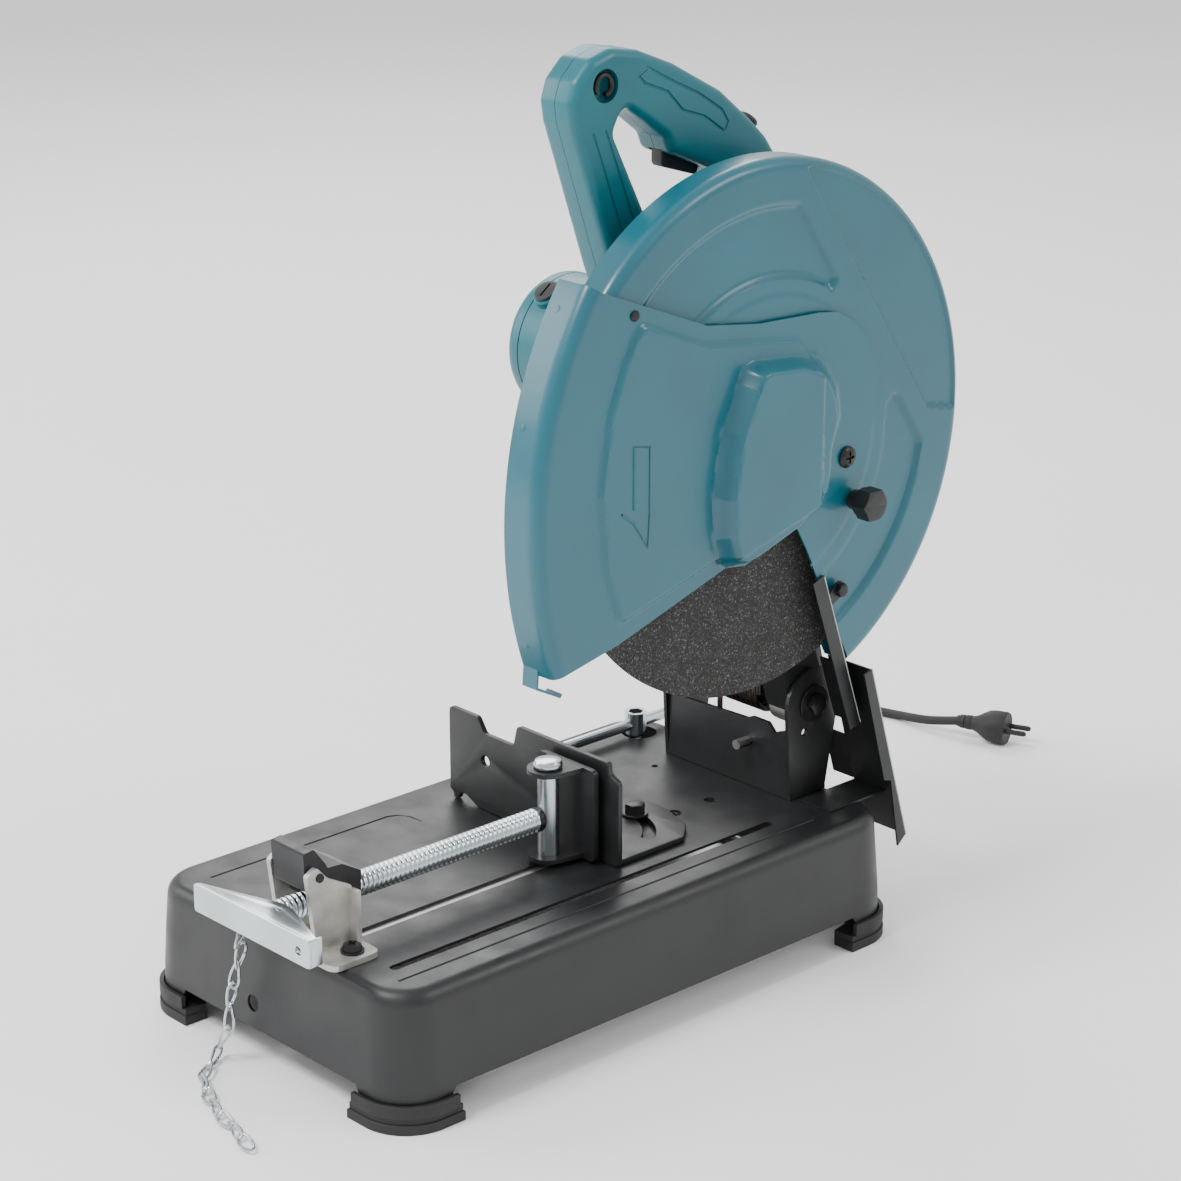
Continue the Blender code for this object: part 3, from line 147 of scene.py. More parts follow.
def resampled(line, spacing, closed=True):
    """Points no further apart than spacing, keeping the line's own corners."""
    result = []
    ends = zip(line, line[1:] + line[:1] if closed else line[1:])
    for a, b in ends:
        count = max(1, math.ceil(math.dist(a, b) / spacing))
        result += [tuple(p + (q - p) * i / count for p, q in zip(a, b)) for i in range(count)]
    return result if closed else [*result, line[-1]]


def smooth_path(points, spacing):
    """Points about every spacing along a Catmull-Rom curve through the given ones."""
    knots = [Vector(p) for p in points]
    knots = [2 * knots[0] - knots[1], *knots, 2 * knots[-1] - knots[-2]]
    path = []
    for a, b, c, d in zip(knots, knots[1:], knots[2:], knots[3:]):
        steps = max(1, round((c - b).length / spacing))
        for step in range(steps):
            t = step / steps
            path.append(
                b * (2 * t**3 - 3 * t**2 + 1)
                + (c - a) * 0.5 * (t**3 - 2 * t**2 + t)
                + c * (-2 * t**3 + 3 * t**2)
                + (d - b) * 0.5 * (t**3 - t**2)
            )
    path.append(knots[-2])
    return path


# Solids
def add(name, mesh):
    mesh.name = name
    mesh.shade_smooth()
    mesh.set_sharp_from_angle(angle=math.radians(35))
    obj = bpy.data.objects.new(name, mesh)
    bpy.context.scene.collection.objects.link(obj)
    return obj


def facing_out(mesh):
    work = bmesh.new()
    work.from_mesh(mesh)
    bmesh.ops.remove_doubles(work, verts=work.verts, dist=1e-6)
    bmesh.ops.recalc_face_normals(work, faces=work.faces)
    if work.calc_volume(signed=True) < 0:
        bmesh.ops.reverse_faces(work, faces=work.faces)
    work.to_mesh(mesh)
    work.free()
    return mesh


def baked(obj):
    """The evaluated mesh of an object, which is removed."""
    bpy.context.view_layer.update()
    graph = bpy.context.evaluated_depsgraph_get()
    mesh = bpy.data.meshes.new_from_object(obj.evaluated_get(graph))
    data = obj.data
    bpy.data.objects.remove(obj, do_unlink=True)
    if isinstance(data, bpy.types.Curve):
        bpy.data.curves.remove(data)
    else:
        bpy.data.meshes.remove(data)
    return mesh


def flat(name, outline, low, high, plane="XY", holes=(), bevel=0.0, steps=3):
    """A plate of this outline between two heights along the plane's normal, with rounded edges."""
    curve = bpy.data.curves.new(name, "CURVE")
    curve.dimensions = "2D"
    curve.fill_mode = "BOTH"
    curve.extrude = (high - low) / 2 - bevel
    curve.bevel_depth = bevel
    curve.bevel_resolution = steps
    curve.offset = -bevel
    for loop in (outline, *holes):
        spline = curve.splines.new("POLY")
        spline.points.add(len(loop) - 1)
        for point, (u, v) in zip(spline.points, loop):
            point.co = (u, v, 0.0, 1.0)
        spline.use_cyclic_u = True
    obj = bpy.data.objects.new(name, curve)
    bpy.context.scene.collection.objects.link(obj)
    mesh = baked(obj)
    middle = (low + high) / 2 * (-1 if plane == "XZ" else 1)
    mesh.transform(PLANES[plane] @ Matrix.Translation((0, 0, middle)))
    return add(name, facing_out(mesh))


def turned(name, profile, axis="Z", centre=(0, 0), steps=64, place=None):
    """A solid of revolution. The profile is a list of (radius, height along the axis)."""
    if place is None:
        u, v = centre
        shift = {"X": (0, u, v), "Y": (u, 0, v), "Z": (u, v, 0)}[axis]
        place = Matrix.Translation(shift) @ AXES[axis]
    closed = profile[0][0] > 0
    rows = [[place @ Vector((r * math.cos(a), r * math.sin(a), h))
             for a in (2 * math.pi * i / steps for i in range(steps))] for r, h in profile]
    verts = [point for row in rows for point in row]
    faces = []
    for k in range(len(rows) if closed else len(rows) - 1):
        following = (k + 1) % len(rows)
        for i in range(steps):
            j = (i + 1) % steps
            faces.append((k * steps + i, k * steps + j, following * steps + j, following * steps + i))
    mesh = bpy.data.meshes.new(name)
    mesh.from_pydata(verts, [], faces)
    return add(name, facing_out(mesh))


def rod(name, radius, low, high, axis="X", centre=(0, 0), edge=0.0005, steps=48):
    """A round bar whose ends have a small chamfer."""
    inner = radius - edge
    profile = [(0, low), (inner, low), (radius, low + edge), (radius, high - edge), (inner, high), (0, high)]
    return turned(name, profile, axis, centre, steps)


def block(name, low, high, bevel=0.0004):
    work = bmesh.new()
    bmesh.ops.create_cube(work, size=1.0)
    bmesh.ops.scale(work, vec=[high[i] - low[i] for i in range(3)], verts=work.verts)
    bmesh.ops.translate(work, vec=[(high[i] + low[i]) / 2 for i in range(3)], verts=work.verts)
    bmesh.ops.bevel(work, geom=list(work.edges), offset=bevel, segments=2, profile=0.5, affect="EDGES")
    mesh = bpy.data.meshes.new(name)
    work.to_mesh(mesh)
    work.free()
    return add(name, facing_out(mesh))


def swept(name, points, radii, sides=12, cyclic=False):
    """A round tube along points; radii is one radius or one for each point."""
    places = [Vector(p) for p in points]
    count = len(places)
    if not hasattr(radii, "__len__"):
        radii = [radii] * count
    verts, faces = [], []
    normal = None
    for i, place in enumerate(places):
        before = places[i - 1] if cyclic or i else place
        after = places[(i + 1) % count] if cyclic or i < count - 1 else place
        along = (after - before).normalized()
        if normal is None:
            normal = along.orthogonal()
        normal = (normal - along * normal.dot(along)).normalized()
        side = along.cross(normal)
        for k in range(sides):
            angle = 2 * math.pi * k / sides
            verts.append(place + (normal * math.cos(angle) + side * math.sin(angle)) * radii[i])
    for i in range(count if cyclic else count - 1):
        j = (i + 1) % count
        for k in range(sides):
            m = (k + 1) % sides
            faces.append((i * sides + k, i * sides + m, j * sides + m, j * sides + k))
    if not cyclic:
        faces.append(tuple(range(sides))[::-1])
        faces.append(tuple(range((count - 1) * sides, count * sides)))
    mesh = bpy.data.meshes.new(name)
    mesh.from_pydata(verts, [], faces)
    return add(name, facing_out(mesh))


def joined(name, *parts):
    """One object from several, each keeping its own closed surface."""
    work = bmesh.new()
    for part in parts:
        part.data.transform(part.matrix_world)
        work.from_mesh(part.data)
        mesh = part.data
        bpy.data.objects.remove(part, do_unlink=True)
        bpy.data.meshes.remove(mesh)
    mesh = bpy.data.meshes.new(name)
    work.to_mesh(mesh)
    work.free()
    return add(name, mesh)


def boolean(target, cutters, operation="DIFFERENCE"):
    """The target with each cutter applied in turn; the cutters are removed."""
    for cutter in cutters:
        modifier = target.modifiers.new("Boolean", "BOOLEAN")
        modifier.operation = operation
        modifier.solver = "EXACT"
        modifier.object = cutter
        name = target.name
        bpy.context.view_layer.update()
        graph = bpy.context.evaluated_depsgraph_get()
        mesh = bpy.data.meshes.new_from_object(target.evaluated_get(graph))
        old = target.data
        bpy.data.objects.remove(target, do_unlink=True)
        bpy.data.meshes.remove(old)
        other = cutter.data
        bpy.data.objects.remove(cutter, do_unlink=True)
        bpy.data.meshes.remove(other)
        target = add(name, mesh)
    return target


# Distances used to press shapes into sheet metal
def outline_distance(points, outline):
    """Signed distance of each (u, v) row to a closed outline, negative inside."""
    loop = np.array(outline)
    following = np.roll(loop, -1, axis=0)
    best = np.full(len(points), np.inf)
    inside = np.zeros(len(points), bool)
    for a, b in zip(loop, following):
        side = b - a
        share = np.clip(((points - a) @ side) / (side @ side), 0, 1)
        best = np.minimum(best, np.hypot(*(points - a - share[:, None] * side).T))
        crosses = (a[1] > points[:, 1]) != (b[1] > points[:, 1])
        if a[1] != b[1]:
            at = a[0] + (points[:, 1] - a[1]) * side[0] / side[1]
            inside ^= crosses & (points[:, 0] < at)
    return np.where(inside, -best, best)


def ramp(distance, width):
    """1 inside an outline and 0 outside it, changing smoothly over the width inside its edge."""
    t = np.clip(-distance / width, 0, 1)
    return t * t * (3 - 2 * t)


# Materials, all from nodes
def shader_of(name, roughness, metallic=0.0, coat=0.0):
    material = bpy.data.materials.new(name)
    material.use_nodes = True
    shader = material.node_tree.nodes["Principled BSDF"]
    shader.inputs["Roughness"].default_value = roughness
    shader.inputs["Metallic"].default_value = metallic
    shader.inputs["Coat Weight"].default_value = coat
    shader.inputs["Coat Roughness"].default_value = 0.12
    return material, shader


def linked(tree, kind, inputs=None, **settings):
    node = tree.nodes.new(kind)
    for key, value in settings.items():
        setattr(node, key, value)
    for key, value in (inputs or {}).items():
        if isinstance(value, bpy.types.NodeSocket):
            tree.links.new(value, node.inputs[key])
        else:
            node.inputs[key].default_value = value
    return node


DRIFT_LOW, DRIFT_HIGH = 0.3, 0.7


def finish_of(name, dark, light, roughness, metallic=0.0, patch=30.0, grain=900.0, depth=0.00004,
              spread=0.08, coat=0.0, stretch=(1, 1, 1)):
    """A surface whose colour and gloss drift between two values, with fine grain in its height."""
    material, shader = shader_of(name, roughness, metallic, coat)
    tree = material.node_tree
    coords = linked(tree, "ShaderNodeTexCoord").outputs["Object"]
    mapped = linked(tree, "ShaderNodeMapping", {"Vector": coords, "Scale": stretch}).outputs["Vector"]
    patches = linked(tree, "ShaderNodeTexNoise", {"Vector": mapped, "Scale": patch, "Detail": 4.0})
    drift = patches.outputs["Fac"]
    shade = linked(tree, "ShaderNodeValToRGB", {"Fac": drift})
    for stop, position, colour in zip(shade.color_ramp.elements, (DRIFT_LOW, DRIFT_HIGH), (dark, light)):
        stop.position = position
        stop.color = (*colour, 1.0)
    tree.links.new(shade.outputs["Color"], shader.inputs["Base Color"])
    gloss_range = {
        "Value": drift,
        "From Min": DRIFT_LOW,
        "From Max": DRIFT_HIGH,
        "To Min": roughness - spread,
        "To Max": roughness + spread,
    }
    gloss = linked(tree, "ShaderNodeMapRange", gloss_range)
    tree.links.new(gloss.outputs["Result"], shader.inputs["Roughness"])
    grains = linked(tree, "ShaderNodeTexNoise", {"Vector": mapped, "Scale": grain, "Detail": 3.0})
    fine = grains.outputs["Fac"]
    bump = linked(tree, "ShaderNodeBump", {"Height": fine, "Strength": 0.6, "Distance": depth})
    tree.links.new(bump.outputs["Normal"], shader.inputs["Normal"])
    return material


def grit_of(name):
    """Resin-bonded grit: dark grains with scattered paler ones, in faint large patches."""
    material, shader = shader_of(name, 0.85)
    tree = material.node_tree
    coords = linked(tree, "ShaderNodeTexCoord").outputs["Object"]
    cells = linked(tree, "ShaderNodeTexVoronoi", {"Vector": coords, "Scale": 1050.0})
    tone = linked(tree, "ShaderNodeSeparateColor", {"Color": cells.outputs["Color"]})
    shade = linked(tree, "ShaderNodeValToRGB", {"Fac": tone.outputs["Red"]})
    stops = shade.color_ramp.elements
    stops[0].color = (0.01, 0.01, 0.01, 1.0)
    stops[1].color = (0.17, 0.165, 0.16, 1.0)
    for position, value in ((0.55, 0.022), (0.86, 0.045), (0.95, 0.085)):
        stops.new(position).color = (value, value * 0.97, value * 0.95, 1.0)
    patches = linked(tree, "ShaderNodeTexNoise", {"Vector": coords, "Scale": 45.0, "Detail": 5.0})
    strength = linked(
        tree, "ShaderNodeMapRange", {"Value": patches.outputs["Fac"], "To Min": 0.55, "To Max": 1.45}
    )
    scaled = {0: shade.outputs["Color"], "Scale": strength.outputs["Result"]}
    mixed = linked(tree, "ShaderNodeVectorMath", scaled, operation="SCALE")
    tree.links.new(mixed.outputs["Vector"], shader.inputs["Base Color"])
    bump = linked(
        tree, "ShaderNodeBump", {"Height": cells.outputs["Distance"], "Strength": 0.9, "Distance": 0.0004}
    )
    tree.links.new(bump.outputs["Normal"], shader.inputs["Normal"])
    return material


# Dark shade, light shade, roughness and metallic, then what differs from finish_of's own values
LOOKS = {
    "teal_paint": (
        (0.0, 0.09, 0.128), (0.0, 0.108, 0.15), 0.36, 0.0,
        {"patch": 14, "grain": 420, "depth": 0.00003, "spread": 0.04, "coat": 0.35},
    ),
    "teal_plastic": (
        (0.0, 0.105, 0.135), (0.001, 0.128, 0.16), 0.4, 0.0,
        {"patch": 25, "grain": 1500, "depth": 0.00005},
    ),
    "black_paint": (
        (0.0075, 0.008, 0.0088), (0.011, 0.0116, 0.0126), 0.42, 0.0,
        {"patch": 40, "grain": 900, "depth": 0.00012},
    ),
    "black_steel": (
        (0.01, 0.01, 0.011), (0.02, 0.02, 0.022), 0.36, 0.4, {"patch": 120, "grain": 1600},
    ),
    "black_plastic": (
        (0.01, 0.01, 0.011), (0.018, 0.018, 0.019), 0.5, 0.0,
        {"patch": 60, "grain": 1800, "depth": 0.00006},
    ),
    "zinc": (
        (0.5, 0.55, 0.58), (0.6, 0.65, 0.68), 0.24, 1.0,
        {"patch": 25, "grain": 1400, "depth": 0.00001, "spread": 0.04},
    ),
    "cast_aluminium": (
        (0.44, 0.43, 0.4), (0.6, 0.59, 0.56), 0.5, 0.9, {"patch": 70, "grain": 1100, "depth": 0.00018},
    ),
    "steel": (
        (0.34, 0.34, 0.35), (0.48, 0.48, 0.48), 0.32, 1.0,
        {"patch": 60, "grain": 1500, "stretch": (6, 1, 1)},
    ),
    "winding": (
        (0.4, 0.15, 0.06), (0.62, 0.27, 0.12), 0.35, 0.9,
        {"patch": 200, "grain": 1200, "stretch": (1, 8, 8)},
    ),
    "carbon": (
        (0.015, 0.015, 0.016), (0.035, 0.035, 0.036), 0.6, 0.2, {"patch": 200, "grain": 1500},
    ),
    "rubber": (
        (0.0065, 0.0065, 0.0068), (0.012, 0.012, 0.0125), 0.62, 0.0,
        {"patch": 80, "grain": 1300, "depth": 0.00008},
    ),
    "spring_steel": (
        (0.03, 0.024, 0.02), (0.085, 0.068, 0.055), 0.38, 0.9, {"patch": 260, "grain": 1400},
    ),
    # Light grey metal for painted highlights on the spark guards' edges
    "painted_highlight_edge": (
        (0.26, 0.27, 0.28), (0.42, 0.43, 0.44), 0.42, 0.7, {"patch": 150, "grain": 1400},
    ),
    # Black paint made darker still: painted shade for the panels in the wheel's shadow
    "painted_shade_black": (
        (0.004, 0.004, 0.005), (0.009, 0.009, 0.01), 0.7, 0.0, {"patch": 90, "grain": 900},
    ),
}
FINISHES = {
    name: finish_of(name, dark, light, roughness, metallic, **more)
    for name, (dark, light, roughness, metallic, more) in LOOKS.items()
}
FINISHES["abrasive"] = grit_of("abrasive")


def dress(obj, finish):
    obj.data.materials.clear()
    obj.data.materials.append(FINISHES[finish])


def place(obj, slot, *nodes, finish=None):
    """Puts a visual piece in its CAD nodes' place, on their body."""
    dress(obj, finish or slot)
    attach(obj, BODY_OF[nodes[0]])
    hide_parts(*nodes)
    return obj


def extra(obj, slot, body, finish=None):
    """A detail that no CAD node has, such as a cover strip or a screw's slot."""
    dress(obj, finish or slot)
    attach(obj, body)
    return obj


# Camera at the three-quarter view
camera = bpy.data.objects.new("camera", bpy.data.cameras.new("camera"))
bpy.context.scene.collection.objects.link(camera)
camera.location = (1.5312, -1.3585, 0.987)
camera.data.lens = 97.34
camera.data.sensor_width = 36.0
camera.data.clip_end = 20.0
aim = Vector((0.0703, -0.0072, 0.2994)) - camera.location
camera.rotation_euler = aim.to_track_quat("-Z", "Y").to_euler()
bpy.context.scene.camera = camera


# Cord: out of the motor, down behind the saw, round the coil and away to its plug
CORD_RADIUS = 0.00375
CORD_REST = CORD_RADIUS + 0.0001
CORD_SPACING = 0.006
CORD_STRAIGHT = (0.006, 0.017, 0.028, 0.038)
EXIT = (0.01, 0.1683, 0.395)
EXIT_TURN = math.radians(-98)
COIL = (-0.108, 0.302)
COIL_ARRIVAL = 0.029
TURN_RADII = (0.0488, 0.041)
LAYER = 0.0078
CORD_DROP = [
    (0.01, 0.2178, 0.3859), (0.01, 0.2285, 0.3772), (0.01, 0.2343, 0.367), (0.0096, 0.24, 0.35),
    (0.0088, 0.253, 0.308), (0.008, 0.262, 0.27), (0.009, 0.269, 0.22), (0.0105, 0.273, 0.16),
    (0.012, 0.274, 0.095), (0.0105, 0.2725, 0.0488), (0.005, 0.269, 0.0263), (-0.011, 0.262, 0.0098),
    (-0.033, 0.2555, CORD_REST),
]
CORD_TAIL = [
    (-0.1575, 0.364, 0.011), (-0.1595, 0.387, 0.0055), (-0.1655, 0.415, CORD_REST),
    (-0.176, 0.445, CORD_REST), (-0.189, 0.475, CORD_REST), (-0.1955, 0.5, CORD_REST),
    (-0.1925, 0.5153, CORD_REST), (-0.1838, 0.5283, CORD_REST), (-0.1708, 0.537, CORD_REST),
    (-0.156, 0.542, CORD_REST), (-0.139, 0.545, 0.0048), (-0.111, 0.5465, 0.0085),
    (-0.085, 0.553, 0.0136), (-0.0818, 0.5543, 0.014),
]
COIL_SLOTS = [(0, 0), (1, 0), (1, 1), (0, 1), (0, 2), (1, 2)]
COIL_TURNS = 5.25
TURN_STEPS = 40
CROSSING = 0.2


def exit_frame():
    """The cord guard's place: its local +Z is the way that the cord leaves."""
    return Matrix.Translation(EXIT) @ Matrix.Rotation(EXIT_TURN, 4, "X")


def eased(t):
    """Rises smoothly from 0 to 1 as t does."""
    t = min(max(t, 0.0), 1.0)
    return t * t * (3 - 2 * t)


def coil_turns():
    """Two rings of turns in three layers; each turn moves to its next place just before the one under it."""
    points = []
    for step in range(int(COIL_TURNS * TURN_STEPS) + 1):
        turn = step / TURN_STEPS
        radius, height = TURN_RADII[0], 0.0
        for index, (ring_to, layer_to) in enumerate(COIL_SLOTS[1:]):
            share = eased((turn - 0.8 * (index + 1)) / CROSSING)
            radius += (TURN_RADII[ring_to] - radius) * share
            height += (layer_to * LAYER - height) * share
        height += LAYER * eased((turn - COIL_TURNS + 0.25) / 0.22)
        angle = -math.pi / 2 - 2 * math.pi * turn
        x = COIL[0] + radius * math.cos(angle)
        y = COIL[1] + radius * math.sin(angle)
        points.append(Vector((x, y, CORD_REST + height)))
    return points


def cord_line():
    """The cord's centre line, never lower than lying on the floor."""
    straight = [exit_frame() @ Vector((0, 0, distance)) for distance in CORD_STRAIGHT]
    arrive = Vector((COIL[0] + COIL_ARRIVAL, COIL[1] - TURN_RADII[0], CORD_REST))
    turns = coil_turns()
    drop = smooth_path([*straight, *CORD_DROP, arrive, turns[0]], CORD_SPACING)
    last = turns[-1]
    leave = [
        last,
        Vector((last.x - 0.0005, COIL[1] + 0.02, last.z)),
        Vector((last.x - 0.001, COIL[1] + 0.042, last.z * 0.8)),
        *[Vector(point) for point in CORD_TAIL],
    ]
    tail = smooth_path(leave, CORD_SPACING)
    points = [*drop[:-1], *turns[:-1], *tail]
    return [Vector((p.x, p.y, max(p.z, CORD_REST))) for p in points]


route = cord_line()
cord = swept("mains_cord", route, CORD_RADIUS, 16)
dress(cord, "rubber")
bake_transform(cord)
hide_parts("power_cord", "cord_coil", "cord_tail")

sleeve_profile = [(0.0041, 0.0045), (0.0078, 0.0045), (0.0078, 0.0065)]
for rib in range(7):
    low = 0.008 + rib * 0.0036
    outer = 0.0074 - rib * 0.0003
    neck = outer - 0.0009
    sleeve_profile += [(neck, low), (outer, low + 0.0006), (outer, low + 0.002), (neck, low + 0.0026)]
sleeve_profile += [(0.0046, 0.034), (0.0041, 0.034)]
sleeve = turned("cord_sleeve", sleeve_profile, steps=32, place=exit_frame())
place(sleeve, "rubber", "cord_guard")

PLUG_FRAME = (
    Matrix.Translation((-0.0848, 0.5531, 0.014))
    @ Matrix.Rotation(math.radians(-68), 4, "Z")
    @ Matrix.Rotation(math.radians(90), 4, "X").inverted()
)
plug_profile = [
    (0, 0.0005), (0.0046, 0.0005), (0.005, 0.003), (0.0056, 0.0035), (0.0058, 0.007), (0.0052, 0.0078),
    (0.006, 0.0085), (0.0062, 0.013), (0.0058, 0.0138), (0.007, 0.018), (0.0105, 0.0235), (0.0128, 0.028),
    (0.0136, 0.033), (0.0137, 0.0425), (0.013, 0.044), (0, 0.044),
]
pin_profile = [(0, 0.043), (0.0022, 0.043), (0.0022, 0.06), (0.0014, 0.0618), (0, 0.062)]
plug_parts = [turned("plug_body", plug_profile, steps=40, place=PLUG_FRAME)]
for offset in (-0.0065, 0.0065):
    pin_frame = PLUG_FRAME @ Matrix.Translation((offset, 0, 0))
    plug_parts.append(turned("plug_pin", pin_profile, steps=20, place=pin_frame))
mains_plug = place(joined("mains_plug", *plug_parts), "rubber", "plug")


# Sheet metal with pressed shapes
def pressed_sheet(name, outline, centre, rows, spacing, height_at, skirt, skirt_part, thickness):
    """A face over an outline seen from its centre, with a skirt of (radius, x) rows along part of its edge.

    The skirt's points stay on the rays from the centre that its edge points lie on.
    """
    edge = np.array(resampled(outline, spacing))
    middle = np.array(centre)
    shares = np.linspace(0, 1, rows + 1)[1:]
    plane = np.concatenate([middle[None], *[middle + (edge - middle) * share for share in shares]])
    heights = height_at(plane)
    verts = np.column_stack([heights, plane])
    count = len(edge)
    faces = [(0, 1 + i, 1 + (i + 1) % count) for i in range(count)]
    for row in range(rows - 1):
        a, b = 1 + row * count, 1 + (row + 1) * count
        faces += [(a + i, b + i, b + (i + 1) % count, a + (i + 1) % count) for i in range(count)]
    last = 1 + (rows - 1) * count
    chosen = [i for i in range(count) if skirt_part(*edge[i])]
    start = next(i for i in chosen if (i - 1) % count not in chosen)
    chosen = [(start + k) % count for k in range(len(chosen))]
    upper = [last + i for i in chosen]
    arms = edge[chosen] - middle
    arms /= np.hypot(*arms.T)[:, None]
    grown = [verts]
    total = len(verts)
    for radius, x in skirt:
        grown.append(np.column_stack([np.full(len(chosen), x), middle + arms * radius]))
        lower = list(range(total, total + len(chosen)))
        total += len(chosen)
        for k in range(len(chosen) - 1):
            faces.append((upper[k], lower[k], lower[k + 1], upper[k + 1]))
        upper = lower
    mesh = bpy.data.meshes.new(name)
    mesh.from_pydata(np.concatenate(grown).tolist(), [], faces)
    mesh.validate()
    work = bmesh.new()
    work.from_mesh(mesh)
    bmesh.ops.recalc_face_normals(work, faces=work.faces)
    work.faces.ensure_lookup_table()
    if work.faces[0].normal.x < 0:
        bmesh.ops.reverse_faces(work, faces=work.faces)
    work.to_mesh(mesh)
    work.free()
    obj = add(name, mesh)
    solid = obj.modifiers.new("Sheet", "SOLIDIFY")
    solid.thickness = thickness
    solid.offset = -1.0
    return add(name, baked(obj))


def bend_rows(radius, face, bend, low, steps=6):
    """Skirt rows for an edge that turns from the face into a wall."""
    rows = []
    for step in range(1, steps + 1):
        turn = math.pi / 2 * step / steps
        rows.append((radius - bend + bend * math.sin(turn), face - bend + bend * math.cos(turn)))
    count = max(1, round((rows[-1][1] - low) / 0.003))
    return rows + [(radius, rows[-1][1] + (low - rows[-1][1]) * (i + 1) / count) for i in range(count)]


GUARD_BEND = 0.0075
MOUTH_ANGLES = (296.5, 547.0)
MOUTH_FACE = [(0.06, 0.352), (0.105, 0.322), (0.15, 0.3185), (0.1612, 0.299)]
MOUTH_BACK = [(0.06, 0.352), (0.08, 0.335), (0.105, 0.322), (0.15, 0.3185), (0.1612, 0.299)]
FACE_ROWS = 112
FACE_SPACING = 0.0019
# Depth of each pressed shape, and how wide its sloping edge is
POCKET = (0.0036, 0.0048)
SUNK_PANEL = (0.0022, 0.0026)
HUB_RING = (0.0004, 0.004)


def pressed(points, outline, shape):
    """How far each point moves for one pressed shape, given as (depth, edge width)."""
    depth, edge = shape
    return depth * ramp(outline_distance(points, outline), edge)


def wheel_guard_face():
    """Outer face: crescent and kidney pockets round the hub, and a sunk panel at the upper right."""
    outline = arc(SPINDLE, GUARD_RADIUS - GUARD_BEND, *MOUTH_ANGLES, 220) + MOUTH_FACE
    crescent = arc(SPINDLE, 0.1655, 80, 178, 60) + arc(SPINDLE, 0.1135, 178, 60, 60)
    crescent = rounded(crescent + [(0.1817, 0.4769), (0.1887, 0.4845)], 0.007)
    kidney = arc(SPINDLE, 0.16, -66, -18, 30)
    kidney += [(0.279, 0.3534), (0.2531, 0.3917), (0.2475, 0.395), (0.2385, 0.3885)]
    kidney = rounded(kidney + arc(SPINDLE, 0.1165, -8, -60, 30), 0.006)
    panel = [
        (0.15, 0.575), (0.1576, 0.5562), (0.1974, 0.5011), (0.2812, 0.3772), (0.3038, 0.3721),
        (0.33, 0.37), (0.33, 0.62), (0.15, 0.62),
    ]
    hub_ring = circle(SPINDLE, 0.106, 90)

    def height_at(points):
        x = np.full(len(points), GUARD_FACE)
        x -= pressed(points, crescent, POCKET)
        x -= pressed(points, kidney, POCKET)
        x -= pressed(points, panel, SUNK_PANEL)
        x += pressed(points, hub_ring, HUB_RING)
        return x

    skirt = bend_rows(GUARD_RADIUS, GUARD_FACE, GUARD_BEND, GUARD_BACK)

    def on_rim(u, v):
        return math.dist((u, v), SPINDLE) > GUARD_RADIUS - GUARD_BEND - 0.0006

    return pressed_sheet(
        "wheel_cover", outline, SPINDLE, FACE_ROWS, FACE_SPACING, height_at, skirt, on_rim, SHEET
    )


def wheel_guard_back():
    """Flat rear plate with a round way for the spindle, reaching out to the rim."""
    outline = arc(SPINDLE, GUARD_RADIUS, *MOUTH_ANGLES, 120) + MOUTH_BACK
    spindle_way = circle(SPINDLE, 0.0262, 64)
    return flat("guard_back", outline, GUARD_BACK, GUARD_BACK + SHEET, "YZ", holes=[spindle_way])


guard = joined("wheel_cover", wheel_guard_face(), wheel_guard_back())
place(guard, "teal_paint", "wheel_guard")

SAFETY_EDGE = [
    (0.0591, 0.4748), (0.1075, 0.4678), (0.165, 0.4655), (0.183, 0.463), (0.198, 0.4545), (0.211, 0.442),
    (0.22, 0.4285), (0.2245, 0.414), (0.2255, 0.399), (0.223, 0.382), (0.216, 0.365), (0.208, 0.35),
    (0.198, 0.342), (0.183, 0.335), (0.151, 0.32), (0.0973, 0.3024), (0.0792, 0.3051), (-0.0197, 0.2745),
]
DOME = [
    (0.0624, 0.3574), (0.064, 0.33), (0.071, 0.308), (0.085, 0.304), (0.0973, 0.3055), (0.151, 0.323),
    (0.176, 0.333), (0.18, 0.35), (0.182, 0.37), (0.19, 0.39), (0.186, 0.414), (0.173, 0.432),
    (0.1623, 0.4403), (0.0988, 0.446), (0.09, 0.443), (0.07, 0.402),
]
SAFETY_PANEL = [
    (-0.0011, 0.4889), (0.0567, 0.465), (0.1446, 0.4529), (0.156, 0.44), (0.156, 0.335), (0.0567, 0.308),
    (-0.0198, 0.287), (-0.033, 0.325), (-0.0385, 0.3789), (-0.03, 0.433), (-0.017, 0.465),
]
SAFETY_BEND = 0.0085
SAFETY_ROWS = 150
SAFETY_BACK = 0.0788
PANEL_RISE = 0.0028
DOME_RISE = 0.018
PIVOT_FLAT = 0.015


